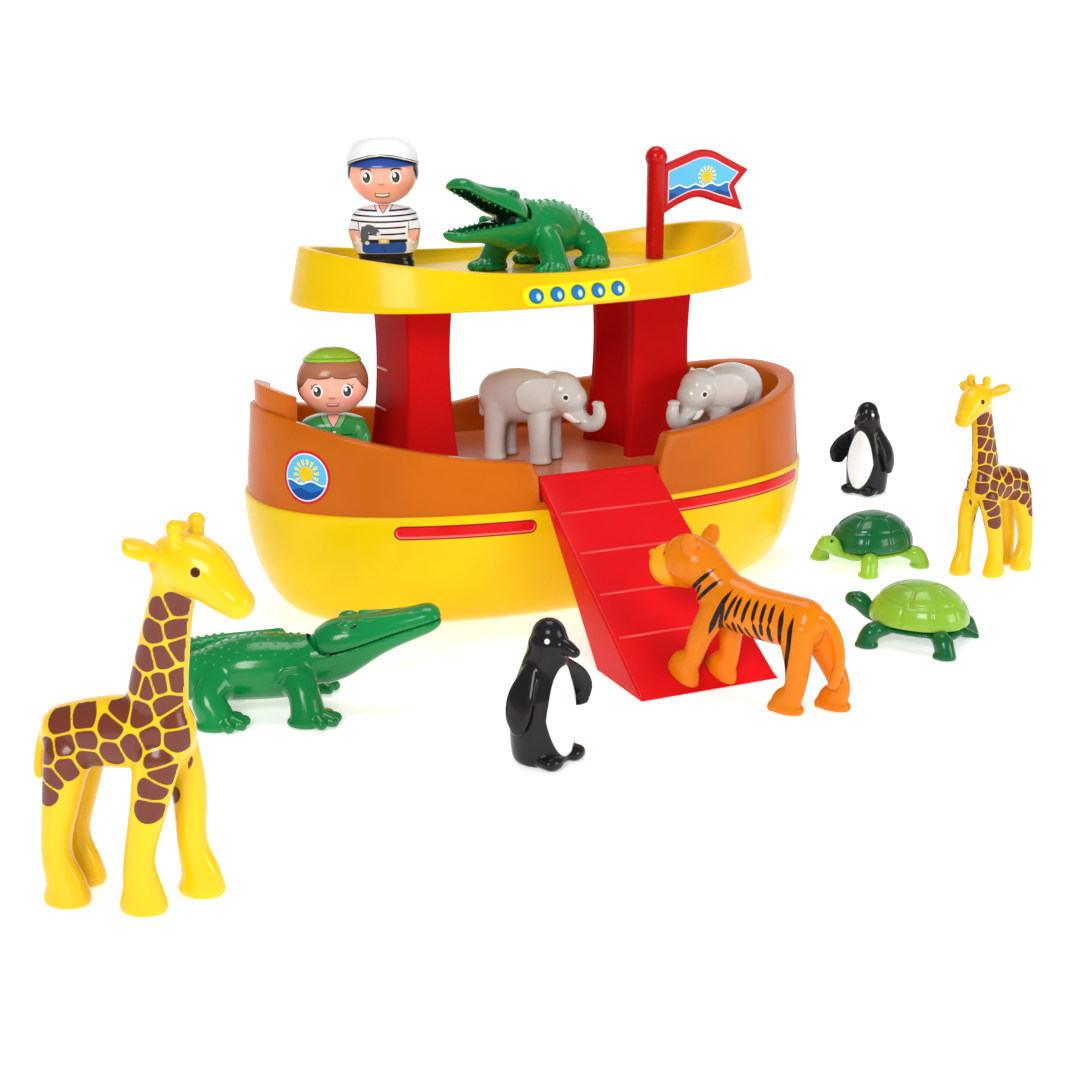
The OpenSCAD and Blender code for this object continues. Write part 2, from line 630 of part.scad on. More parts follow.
module elephant_form() {
    limb([[-22, 0, 41, 14, 16], [-10, 0, 42, 16.5, 18.5], [6, 0, 42, 16, 17.5], [16, 0, 43, 12, 14]], sides = 10);
    limb([[14, 0, 46, 11, 12], [22, 0, 46, 13, 14.5], [29, 0, 42, 10.5, 11.5]], sides = 10);
    limb([[27, 0, 39, 7.5, 9], [35, 0, 31, 6.2, 6.5], [41, 0, 27, 5.4, 5.4], [47, 0, 28, 5, 5],
        [49.5, 0, 34, 4.4, 4.4], [48.5, 0, 39, 3.6, 3.6]]);
    limb([[-30, 0, 46, 2.2, 2.2], [-34, 0, 36, 1.9, 1.9], [-34, 0, 28, 2.2, 2.2]]);
    for (s = [-1, 1]) {
        limb([[19, s * 9, 47, 3, 11], [9, s * 17, 44, 2.6, 11.5], [3, s * 19.5, 42, 1.8, 7]], side = [s * 0.7, 0.7, 0]);
        limb([[28, s * 6, 33, 2.2, 2.2], [36, s * 8.5, 29.5, 1.4, 1.4]]);
        leg([[10, s * 8.5, 36, 7.5, 8.5], [11, s * 9, 16, 6.8, 7]], [11.5, s * 9], [8, 7.8], 4);
        leg([[-20, s * 8, 36, 8, 9], [-21, s * 9, 16, 6.8, 7]], [-21, s * 9], [8, 7.8], 4);
    }
}
module elephant(at, turn) {
    color("silver") stand(at, turn, deck_z + stand_gap) resize([0, 0, elephant_h], auto = true) elephant_form();
}
module elephant_1() { elephant(elephant_1_at, -50); }
module elephant_2() { elephant(elephant_2_at, -160); }

module penguin_form() {
    limb([[0, 0, 0, 14, 13], [0, 0, 5, 16.5, 15.5], [0, 0, 18, 17.5, 17], [0.5, 0, 34, 16.5, 16.5],
        [1.5, 0, 48, 12.5, 13], [3, 0, 56, 10.2, 10.8], [4, 0, 63, 9.8, 10.5], [4, 0, 67, 8, 9]],
        sides = 12, start = false);
    limb([[9, 0, 63, 4.6, 4], [15, 0, 62, 3.4, 3], [20, 0, 60.5, 1.8, 1.6]]);
    limb([[-13, 0, 6, 5, 3.5], [-18, 0, 4.5, 3.5, 2.5]]);
    limb([[1, -10, 50, 5, 2.6], [0, -17, 38, 8, 2.4], [0, -20, 27, 7.5, 2.2], [0.5, -20.5, 20, 4, 1.8]], side = [1, 0, 0]);
    limb([[1, 9, 51, 5, 2.6], [0, 20, 40, 8, 2.4], [0, 27, 30, 7.5, 2.2], [0.5, 29, 22, 4, 1.8]], side = [1, 0, 0]);
    for (s = [-1, 1])
        limb([[8, s * 8, 3.6, 5, 3.6], [14.5, s * 9, 3.4, 5.5, 3.4]]);
}
module penguin(at, turn, side) {
    color("dimgray") stand(at, turn) resize([0, 0, penguin_h], auto = true) scale([1, side, 1]) penguin_form();
}
module penguin_1() { penguin(penguin_1_at, -65, 1); }
module penguin_2() { penguin(penguin_2_at, -155, -1); }

// A turtle is drawn 36 tall: its shell is a dome on a flat seat, its body the plate and limbs below
turtle_k = turtle_h / 36;
shell_seat = 13;
module turtle_shell(at, turn, tint) {
    half = [28.5, 24];
    rise = 23;
    steps = 6;
    color(tint) stand(at, turn) scale(turtle_k) skin(concat(
        [[for (p = oval(half * 0.95, 2.2, 28)) [p.x, p.y, shell_seat]]],
        [for (i = [0:steps]) let (t = 84 * i / steps) [for (p = oval(half * cos(t), 2.2, 28))
            [p.x, p.y, shell_seat + 2 + (rise - 2) * sin(t)]]]));
}
module turtle_form() {
    limb([[-23, 0, 10, 16, 3.2], [-8, 0, 10, 20, 3.4], [8, 0, 10, 20, 3.4], [22, 0, 10, 15, 3.2]], sides = 12);
    limb([[20, 0, 10, 5.5, 3.2], [30, 0, 13.5, 5, 4.6], [35, 0, 19, 5.8, 5.8], [40, 0, 20, 5.2, 4.8]], sides = 10);
    limb([[-26, 0, 10.5, 4, 2.5], [-34, 0, 8.5, 2, 1.6]]);
    for (s = [-1, 1]) {
        leg([[13, s * 14, 10.5, 4, 5], [20, s * 22, 8.5, 4.6, 5]], [22, s * 24], [6, 5.4], 4);
        leg([[-14, s * 14, 10.5, 4, 5], [-20, s * 21, 8.5, 4.6, 5]], [-22, s * 23], [6, 5.4], 4);
    }
}
// Body cut level where the shell sits on it
module turtle_body(at, turn, tint) {
    plate = [50, 40, 20];
    color(tint) stand(at, turn) scale(turtle_k) difference() {
        resize([0, 0, 24.9], auto = true) turtle_form();
        translate([-plate.x / 2 - 6, -plate.y / 2, shell_seat]) cube(plate);
        turtle_shell_room();
    }
}
// Room round the shell for the body's neck, tail and hips
module turtle_shell_room() {
    gap = 0.3;
    half = [28.5 + gap, 24 + gap];
    translate([0, 0, shell_seat]) linear_extrude(10) polygon(oval(half, 2.2, 28));
}
module turtle_1_body() { turtle_body(turtle_1_at, 126, "seagreen"); }
module turtle_1_shell() { turtle_shell(turtle_1_at, 126, "yellowgreen"); }
module turtle_2_body() { turtle_body(turtle_2_at, -175, "yellowgreen"); }
module turtle_2_shell() { turtle_shell(turtle_2_at, -175, "seagreen"); }

// Way that the tiger faces, up the ramp
tiger_turn = 118;
// The tiger climbs on to the ramp: its front feet stand higher than its hind feet
module tiger_form() {
    limb([[-30, 0, 46, 11.5, 13.5], [-18, 0, 46, 12.5, 14.5], [0, 0, 47, 13, 14.5], [14, 0, 51, 13, 15.5],
        [23, 0, 56, 11.5, 14]], sides = 10);
    limb([[20, 0, 58, 11.5, 12.5], [30, 0, 64, 12.5, 13], [37, 0, 67, 14, 14.5], [43, 0, 66.5, 12, 12.5]], sides = 10);
    limb([[43, 0, 65, 9.5, 9], [52, 0, 62.5, 7.8, 7.4]], sides = 10);
    limb([[-40, 0, 50, 3.5, 3.5], [-47, 0, 42, 3.2, 3.2], [-50, 0, 30, 3, 3], [-47, 0, 18, 3, 3]]);
    for (s = [-1, 1])
        limb([[33, s * 9, 76, 3.2, 3.6], [31, s * 12, 82, 2.4, 4]]);
    leg([[-28, 7.5, 44, 6.5, 10], [-31, 9, 26, 5.8, 6.5], [-30, 9.5, 13, 5, 5.2]], [-26, 9.5], [10, 6.8], 7);
    leg([[-30, -7.5, 44, 6.5, 10], [-40, -9, 26, 5.8, 6.5], [-46, -9.5, 13, 5, 5.2]], [-43, -9.5], [10, 6.8], 7);
}
// Front legs stand on the ramp's face, so they are cut by it
module tiger_front_legs() {
    limb([[19, 7.5, 47, 6.2, 8], [27, 9, 30, 5.6, 6.2], [31, 9.5, 18, 5.2, 5.4],
        [36, 9.5, 13, 6.4, 9], [36, 9.5, 0, 6.4, 9]], end = false);
    limb([[17, -7.5, 47, 6.2, 8], [19, -9, 30, 5.6, 6.2], [20, -9.5, 16, 5.2, 5.4],
        [24, -9.5, 10, 6.4, 9], [24, -9.5, 0, 6.4, 9]], end = false);
}
module ramp_room() {
    rise = 40;
    deep = 20;
    translate([ramp_x, 0, stand_gap]) rotate([0, 90, 0]) linear_extrude(ramp_toe_w + 2 * over, center = true)
        polygon([[0, -ramp_toe_y], [-rise, -ramp_toe_y + rise / ramp_slope], [deep, -ramp_toe_y + rise / ramp_slope],
            [deep, -ramp_toe_y]]);
}
module tiger() {
    color("darkorange") stand(tiger_at, tiger_turn) moulding() difference() {
        resize([0, 0, tiger_h], auto = true) {
            tiger_form();
            tiger_front_legs();
        }
        rotate([0, 0, -tiger_turn]) translate([-tiger_at.x, -tiger_at.y, 0]) ramp_room();
    }
}

// Crocodile head and neck as one form about the jaw's axis, raised by an angle and later parted at the mouth
function croc(stations) = [for (s = stations) s * croc_k];
module crocodile_head_form(lift) {
    limb(croc([for (s = [[-14, 14, 13.5], [0, 14, 15], [12, 13.8, 14], [24, 12, 12], [38, 9.3, 9], [52, 8, 7], [60, 7.2, 5.8]])
        [31 + s[0] * cos(lift), 0, 33 + s[0] * sin(lift), s[1], s[2]]]), sides = 12);
}
module crocodile_body_form(tail_side) {
    t = tail_side;
    limb(croc([[26, 0, 29, 13.5, 13], [10, 0, 25.5, 18, 16.5], [-10, 0, 25, 18.5, 17], [-24, 0, 23, 16, 15],
        [-39, 0, 20.1, 10.4, 9.8]]), sides = 12);
    limb(croc([[-29, t * 0.6, 21.4, 12, 11.4], [-44, t * 5, 19.5, 11, 11], [-50, t * 17, 19, 9, 9], [-49, t * 30, 20, 7.4, 7.6],
        [-40, t * 40, 22, 6, 6.4], [-26, t * 44, 25, 4.8, 5.4], [-10, t * 44, 29, 3.8, 4.4], [6, t * 41, 34, 2.6, 3.2]]));
}
module crocodile_legs() {
    scale(croc_k) for (s = [-1, 1]) {
        leg([[14, s * 12, 22, 6.5, 7], [17, s * 21, 13, 5.4, 5.6]], [21, s * 24], [9.5, 7.4], 5);
        leg([[-26, s * 11, 20, 6.5, 7], [-30, s * 19, 13, 5.4, 5.6]], [-27, s * 23], [9.5, 7.4], 5);
    }
}
// Everything ahead of the jaw's axis and above a line through it
module mouth_half(angle, gap) {
    reach = 80 * croc_k;
    translate(jaw_axis) rotate([0, -angle, 0]) translate([0, -reach / 2, gap]) cube([reach, reach, reach / 2]);
}
module jaw_barrel(r, w) {
    translate(jaw_axis) rotate([90, 0, 0]) cylinder(r = r, h = w, center = true);
}
// Bosses on both sides of the knuckle, which hold the ends of the pin
module jaw_bosses(r, inner, outer) {
    for (s = [-1, 1]) translate(jaw_axis + [0, s * (inner + outer) / 2, 0]) rotate([90, 0, 0])
        cylinder(r = r, h = outer - inner, center = true);
}
module crocodile_body(tail_side, lift) {
    swing = lift + jaw_open + 3;
    difference() {
        union() {
            moulding() difference() {
                union() {
                    crocodile_body_form(tail_side);
                    crocodile_head_form(lift);
                    crocodile_legs();
                }
                mouth_half(lift, -jaw_gap);
                mouth_half(swing, -jaw_gap);
                jaw_barrel(knuckle_r + jaw_gap, knuckle_w + 2 * (jaw_gap + boss_step));
            }
            jaw_bosses(boss_r, knuckle_w / 2 + jaw_gap, boss_reach);
        }
        jaw_barrel(jaw_pin_d / 2, crocodile_l / 4);
    }
}
module crocodile_jaw(lift) {
    difference() {
        union() {
            moulding() difference() {
                intersection() {
                    crocodile_head_form(lift);
                    mouth_half(lift, 0);
                }
                jaw_bosses(boss_r + jaw_gap, knuckle_w / 2 - boss_step, crocodile_l / 4);
            }
            jaw_barrel(knuckle_r, knuckle_w);
        }
        jaw_barrel(jaw_pin_d / 2 + jaw_fit, crocodile_l / 4);
    }
}
module jaw_pin() {
    jaw_barrel(jaw_pin_d / 2, 2 * boss_reach);
}
module stand_floor_crocodile() {
    stand(floor_crocodile_at, -18) children();
}
module stand_roof_crocodile() {
    stand_on_roof(roof_crocodile_at, -150) children();
}
module opened_jaw() {
    translate(jaw_axis) rotate([0, -jaw_open, 0]) translate(-jaw_axis) children();
}
module floor_crocodile_body() { color("green") stand_floor_crocodile() crocodile_body(1, floor_lift); }
module floor_crocodile_jaw() { color("green") stand_floor_crocodile() crocodile_jaw(floor_lift); }
module floor_crocodile_pin() { color("darkgreen") stand_floor_crocodile() jaw_pin(); }
module roof_crocodile_body() { color("green") stand_roof_crocodile() crocodile_body(-1, roof_croc_lift); }
module roof_crocodile_jaw() { color("green") stand_roof_crocodile() opened_jaw() crocodile_jaw(roof_croc_lift); }
module roof_crocodile_pin() { color("darkgreen") stand_roof_crocodile() jaw_pin(); }

hull();
bulwark();
deck();
ramp();
ramp_rod();
bow_pillar();
stern_pillar();
roof();
flag();
captain_body();
captain_head();
captain_cap();
keeper_body();
keeper_head();
keeper_cap();
giraffe_1();
giraffe_2();
elephant_1();
elephant_2();
penguin_1();
penguin_2();
turtle_1_body();
turtle_1_shell();
turtle_2_body();
turtle_2_shell();
tiger();
floor_crocodile_body();
floor_crocodile_jaw();
floor_crocodile_pin();
roof_crocodile_body();
roof_crocodile_jaw();
roof_crocodile_pin();
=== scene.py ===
import math

import bmesh
import bpy
import numpy as np
from mathutils import Matrix, Vector
from mathutils.bvhtree import BVHTree


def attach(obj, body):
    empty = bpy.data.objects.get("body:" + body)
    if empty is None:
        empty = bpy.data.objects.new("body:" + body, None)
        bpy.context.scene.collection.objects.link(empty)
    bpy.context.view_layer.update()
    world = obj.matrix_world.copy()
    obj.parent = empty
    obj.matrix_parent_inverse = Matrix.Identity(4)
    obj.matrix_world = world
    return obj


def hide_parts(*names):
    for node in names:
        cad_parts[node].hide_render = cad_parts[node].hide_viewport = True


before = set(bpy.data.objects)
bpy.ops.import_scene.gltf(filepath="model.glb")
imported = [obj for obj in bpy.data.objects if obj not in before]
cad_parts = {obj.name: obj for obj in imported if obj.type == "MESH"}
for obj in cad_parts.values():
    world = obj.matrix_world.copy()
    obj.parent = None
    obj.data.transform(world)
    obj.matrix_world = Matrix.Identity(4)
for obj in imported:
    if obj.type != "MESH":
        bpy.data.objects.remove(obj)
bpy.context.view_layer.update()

bl_info = {
    "name": "Toy ark play set",
    "version": (1, 0, 0),
    "blender": (4, 5, 0),
    "location": "View3D > Sidebar > Ark",
    "description": "Dresses the packed toy ark with its moulded forms, prints and finishes",
    "category": "Object",
}

MM = 0.001


def linear(red, green, blue):
    """A screen colour, 0 to 255, as linear light."""
    return tuple(c / 12.92 if c <= 0.04045 else ((c + 0.055) / 1.055) ** 2.4
                 for c in (red / 255, green / 255, blue / 255))


# Shader values and finishes

COAT_ROUGH, COAT_IOR = 0.06, 1.35
GRAIN_SCALE, DRIFT_SCALE, PEEL_SCALE = 140.0, 18.0, 900.0
PEEL_STRENGTH, PEEL_DEPTH = 0.06, 0.0004


class Value:
    """A shader value; its operators add Math nodes."""

    def __init__(self, finish, socket):
        self.finish, self.socket = finish, socket

    def math(self, operation, a, b=0.0):
        return self.finish.node("Math", {"operation": operation}, {0: a, 1: b})

    def __add__(self, other):
        return self.math("ADD", self, other)

    __radd__ = __add__

    def __sub__(self, other):
        return self.math("SUBTRACT", self, other)

    def __rsub__(self, other):
        return self.math("SUBTRACT", other, self)

    def __mul__(self, other):
        return self.math("MULTIPLY", self, other)

    __rmul__ = __mul__

    def __truediv__(self, other):
        return self.math("DIVIDE", self, other)

    def __pow__(self, other):
        return self.math("POWER", self, other)

    def high(self, other):
        return self.math("MAXIMUM", self, other)

    def size(self):
        return self.math("ABSOLUTE", self)

    def root(self):
        return self.math("SQRT", self)

    def step(self, start, end):
        """0 at start and 1 at end, eased between them."""
        return self.finish.node("MapRange", {"interpolation_type": "SMOOTHSTEP"},
                                {0: self, 1: start, 2: end, 3: 0.0, 4: 1.0})


class Finish:
    """A material with one Principled shader, and the print on its ground colour."""

    def __init__(self, name, rough=0.24, coat=0.3, shine=0.25):
        self.material = bpy.data.materials.new(name)
        self.material.use_nodes = True
        self.tree = self.material.node_tree
        self.shader = self.tree.nodes["Principled BSDF"]
        self.colour = None
        self.feed("Coat Roughness", COAT_ROUGH)
        self.feed("Coat IOR", COAT_IOR)
        self.feed("Specular IOR Level", shine)
        self.feed("Coat Weight", coat)
        self.place = self.node("TexCoord", output="Object")
        self.feed("Roughness", self.noise(GRAIN_SCALE, 3.0) * 0.1 + (rough - 0.05))
        self.feed("Normal", self.node("Bump", {}, {
            "Strength": PEEL_STRENGTH, "Distance": PEEL_DEPTH, "Height": self.noise(PEEL_SCALE, 2.0)}))

    def node(self, kind, settings=None, inputs=None, output=0):
        made = self.tree.nodes.new("ShaderNode" + kind)
        for key, value in (settings or {}).items():
            setattr(made, key, value)
        for key, value in (inputs or {}).items():
            self.link(made.inputs[key], value)
        return Value(self, made.outputs[output])

    def link(self, socket, value):
        if isinstance(value, Value):
            self.tree.links.new(value.socket, socket)
        elif isinstance(value, tuple) and len(value) == 3 and socket.type == "RGBA":
            socket.default_value = (*value, 1.0)
        else:
            socket.default_value = value

    def feed(self, name, value):
        self.link(self.shader.inputs[name], value)

    def noise(self, scale, detail):
        return self.node("TexNoise", {}, {"Vector": self.place, "Scale": scale, "Detail": detail})

    def mix(self, base, over, share):
        return self.node("Mix", {"data_type": "RGBA"}, {0: share, 6: base, 7: over}, output=2)

    def ground(self, colour, depth=0.07):
        """Ground colour, with the slow drift of tone of a moulding."""
        deep = tuple(c * (1 - depth) for c in colour)
        pale = tuple(min(1.0, c * (1 + depth * 0.6)) for c in colour)
        self.colour = self.mix(deep, pale, self.noise(DRIFT_SCALE, 2.0).step(0.3, 0.7))

    def ink(self, colour, mask):
        """A colour printed where the mask is 1."""
        self.colour = self.mix(self.colour, colour, mask)

    def ink_mark(self, name, colour, soft=0.22):
        """A colour printed where a stored distance is positive."""
        self.ink(colour, self.mark(name).step(-soft, soft))

    def on(self, side):
        """Printer that lays its inks only where the side's mask is 1."""
        return lambda colour, mask: self.ink(colour, mask * side)

    def done(self):
        """The material, with its print fed to the shader."""
        self.feed("Base Color", self.colour)
        return self.material

    def local(self, matrix, scale=(MM, MM, MM)):
        """X, Y and Z in a piece's own millimetres, from its placing matrix."""
        where, turn, _ = matrix.decompose()
        mapped = self.node("Mapping", {"vector_type": "TEXTURE"}, {
            "Vector": self.place, "Location": tuple(where), "Rotation": tuple(turn.to_euler("XYZ")),
            "Scale": scale})
        split = self.node("SeparateXYZ", {}, {0: mapped}).socket.node
        return tuple(Value(self, out) for out in split.outputs)

    def mark(self, name):
        """A number stored on the piece's points."""
        return self.node("Attribute", {"attribute_name": name}, output="Fac")


def blob(x, z, cx, cz, rx, rz, soft=0.12):
    """Mask of an oval: 1 inside, 0 outside."""
    return 1 - ((((x - cx) / rx) ** 2.0 + ((z - cz) / rz) ** 2.0).root()).step(1 - soft, 1 + soft)


def bar(x, z, cx, cz, hx, hz, round_r, soft=0.25):
    """Mask of a rounded bar, in millimetres."""
    dx = ((x - cx).size() - (hx - round_r)).high(0.0)
    dz = ((z - cz).size() - (hz - round_r)).high(0.0)
    return 1 - (dx ** 2.0 + dz ** 2.0).root().step(round_r - soft, round_r + soft)


def between(v, low, high, soft=0.25):
    """Mask of a band: 1 from low to high."""
    return v.step(low - soft, low + soft) * (1 - v.step(high - soft, high + soft))


FINISHES = {}


def plastic(name, colour, rough=0.24, coat=0.3, depth=0.07, shine=0.25):
    """Plain glossy moulded plastic."""
    if name not in FINISHES:
        finish = Finish(name, rough, coat, shine)
        finish.ground(colour, depth)
        FINISHES[name] = finish.done()
    return FINISHES[name]


# Meshes, in millimetres

CREASE = 42


def new_object(name, verts, faces):
    """A mesh object in the scene."""
    mesh = bpy.data.meshes.new(name)
    mesh.from_pydata((np.asarray(verts, float) * MM).tolist(), [], [tuple(f) for f in faces])
    mesh.update()
    obj = bpy.data.objects.new(name, mesh)
    bpy.context.scene.collection.objects.link(obj)
    return obj


def tidy(obj, bevel=None, segments=3, angle=35.0):
    """Doubles merged, faces outward, corners rounded where asked, smooth with sharp creases."""
    made = bmesh.new()
    made.from_mesh(obj.data)
    bmesh.ops.remove_doubles(made, verts=made.verts, dist=1e-6)
    bmesh.ops.recalc_face_normals(made, faces=made.faces)
    if bevel:
        sharp = [e for e in made.edges
                 if len(e.link_faces) == 2 and e.calc_face_angle() > math.radians(angle)]
        bmesh.ops.bevel(made, geom=sharp, offset=bevel * MM, segments=segments, profile=0.5,
                        affect="EDGES", clamp_overlap=True)
    made.to_mesh(obj.data)
    made.free()
    obj.data.shade_smooth()
    obj.data.set_sharp_from_angle(angle=math.radians(CREASE))
    return obj


def join_forms(forms):
    """Several (verts, faces) as one."""
    verts, faces, base = [], [], 0
    for v, f in forms:
        verts.extend(np.asarray(v, float).tolist())
        faces.extend([tuple(i + base for i in face) for face in f])
        base += len(v)
    return np.array(verts), faces


def loft(rings):
    """Skin over a stack of closed rings, closed at both ends."""
    rings = [np.asarray(r, float) for r in rings]
    n, m = len(rings[0]), len(rings)
    verts = np.concatenate(rings + [[rings[0].mean(0)], [rings[-1].mean(0)]])
    first, last, top = n * m, n * m + 1, n * (m - 1)
    around = [(j, (j + 1) % n) for j in range(n)]
    faces = [(i + j, i + k, i + n + k, i + n + j) for i in range(0, top, n) for j, k in around]
    for j, k in around:
        faces += [(first, k, j), (last, top + j, top + k)]
    return verts, faces


def smooth_path(stations, step=1.6):
    """Stations resampled along a smooth curve through them."""
    p = np.asarray(stations, float)
    ends = np.concatenate([[2 * p[0] - p[1]], p, [2 * p[-1] - p[-2]]])
    out = []
    for i in range(1, len(ends) - 2):
        a, b, c, d = ends[i - 1:i + 3]
        count = max(2, int(np.linalg.norm(c[:3] - b[:3]) / step))
        for k in range(count):
            t = k / count
            out.append(0.5 * (2 * b + (c - a) * t + (2 * a - 5 * b + 4 * c - d) * t * t
                              + (3 * b - a - 3 * c + d) * t ** 3))
    out.append(p[-1])
    return np.array(out)


def limb(stations, side=(0, 1, 0), sides=24, start=True, end=True):
    """Oval limb along stations of x, y, z, half width and half height."""
    path = smooth_path(stations)
    heads = np.gradient(path[:, :3], axis=0)
    heads /= np.linalg.norm(heads, axis=1)[:, None]
    rows = [(path[i], heads[i], 0.0, 1.0) for i in range(len(path))]
    dome = [(math.sin(a), math.cos(a)) for a in np.radians([20, 40, 57, 71, 82])]
    if start:
        rows = [(path[0], heads[0], -o, s) for o, s in reversed(dome)] + rows
    if end:
        rows = rows + [(path[-1], heads[-1], o, s) for o, s in dome]
    turn = np.arange(sides) * 2 * math.pi / sides
    rings = []
    for station, head, reach, share in rows:
        v = np.asarray(side, float) - np.dot(side, head) * head
        v /= np.linalg.norm(v)
        w = np.cross(head, v)
        at = station[:3] + head * reach * min(station[3], station[4])
        rings.append(at + np.outer(np.cos(turn), v) * station[3] * share
                     + np.outer(np.sin(turn), w) * station[4] * share)
    return loft(rings)


def ball(at, radii, tilt=(0, 0, 0), count=20):
    """A rounded lump with its own radii, turned by Euler degrees."""
    rows = []
    for i in range(1, count // 2):
        a = math.pi * i / (count // 2)
        turn = np.arange(count) * 2 * math.pi / count
        rows.append(np.stack([np.cos(turn) * math.sin(a), np.sin(turn) * math.sin(a),
                              np.full(count, -math.cos(a))], 1))
    verts, faces = loft(rows)
    verts[-2], verts[-1] = (0, 0, -1), (0, 0, 1)
    about = [Matrix.Rotation(math.radians(a), 3, axis) for a, axis in zip(tilt, "XYZ")]
    spin = np.array(about[2] @ about[1] @ about[0])
    return (verts * np.asarray(radii, float)) @ spin.T + np.asarray(at, float), faces


def leg(path, foot, half, height):
    """Leg that ends in a flat foot on the floor."""
    x, y = foot
    return limb(list(path) + [[x, y, height, half[1] * 0.86, half[0] * 0.84],
                              [x, y, height * 0.4, half[1], half[0]],
                              [x, y, 0.01, half[1] * 0.94, half[0] * 0.95]], end=False)


def evaluated(obj):
    """The object with its modifiers applied and removed, as a plain mesh."""
    graph = bpy.context.evaluated_depsgraph_get()
    made = bpy.data.meshes.new_from_object(obj.evaluated_get(graph), depsgraph=graph)
    old = obj.data
    obj.modifiers.clear()
    obj.data = made
    bpy.data.meshes.remove(old)
    return obj


def discard(obj):
    """A scratch object is removed with its mesh."""
    mesh = obj.data
    bpy.data.objects.remove(obj)
    bpy.data.meshes.remove(mesh)


def taken(obj):
    """A scratch object's points and faces; the object is removed."""
    verts = np.empty(len(obj.data.vertices) * 3)
    obj.data.vertices.foreach_get("co", verts)
    faces = [tuple(p.vertices) for p in obj.data.polygons]
    discard(obj)
    return verts.reshape(-1, 3) / MM, faces


def moulded(forms, voxel=0.8, ease=6):
    """One smooth skin over overlapping closed forms, as (verts, faces)."""
    obj = new_object("draft", *join_forms(forms))
    skin = obj.modifiers.new("skin", "REMESH")
    skin.mode, skin.voxel_size = "VOXEL", voxel * MM
    soften = obj.modifiers.new("soften", "SMOOTH")
    soften.factor, soften.iterations = 0.5, ease
    return taken(evaluated(obj))


def carved(form, tools):
    """A closed form with other closed forms cut from it."""
    obj = new_object("draft", *form)
    cutters = [tidy(new_object("cutter", *tool)) for tool in tools]
    for cutter in cutters:
        cut = obj.modifiers.new("cut", "BOOLEAN")
        cut.operation, cut.object, cut.solver = "DIFFERENCE", cutter, "EXACT"
    evaluated(obj)
    for cutter in cutters:
        discard(cutter)
    return taken(obj)


def normals_of(verts, faces):
    """Unit normals at the points of a mesh of quads and triangles."""
    quads = np.array([f if len(f) == 4 else (f[0], f[1], f[2], f[2]) for f in faces])
    p = verts[quads]
    flat = np.cross(p[:, 2] - p[:, 0], p[:, 3] - p[:, 1])
    tri = quads[:, 2] == quads[:, 3]
    flat[tri] = np.cross(p[tri, 1] - p[tri, 0], p[tri, 2] - p[tri, 0])
    out = np.zeros_like(verts)
    for k in range(4):
        np.add.at(out, quads[:, k], flat)
    return out / np.maximum(np.linalg.norm(out, axis=1), 1e-12)[:, None]


def placed(matrix, points):
    """Points moved by a placing matrix, in the set's millimetres."""
    m = np.array(matrix)
    return (np.asarray(points, float) @ m[:3, :3].T + m[:3, 3]) / MM


def finished(name, form, finish, body, nodes=(), matrix=None, marks=None, flip=False, sharp=None):
    """A piece in the frame: placed, smooth, riding its body and standing for its nodes."""
    verts, faces = form
    if matrix is not None:
        verts = placed(matrix, verts)
    if flip:
        faces = [tuple(reversed(f)) for f in faces]
    obj = new_object(name, verts, faces)
    obj.data.shade_smooth()
    if sharp:
        obj.data.set_sharp_from_angle(angle=math.radians(sharp))
    for key, numbers in (marks or {}).items():
        layer = obj.data.attributes.new(key, "FLOAT", "POINT")
        layer.data.foreach_set("value", np.asarray(numbers, np.float32))
    return dress(obj, finish, body, nodes)


def dress(obj, finish, body, nodes=()):
    """A mesh gets its finish, rides its body and stands for its nodes."""
    obj.data.materials.clear()
    obj.data.materials.append(finish)
    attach(obj, body)
    if nodes:
        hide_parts(*nodes)
    return obj


def paint(node, finish):
    """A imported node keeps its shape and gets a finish."""
    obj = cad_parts[node]
    obj.data.materials.clear()
    obj.data.materials.append(finish)


# Repeats, made by geometry nodes

REPEATED = {
    "dome": ("UVSphere", {"Radius": 1.0}, ("Segments", "Rings")),
    "bar": ("Cylinder", {"Radius": 1.0, "Depth": 1.0}, ("Vertices",)),
    "tooth": ("Cone", {"Radius Top": 0.3, "Radius Bottom": 1.0, "Depth": 1.0}, ("Vertices",)),
}


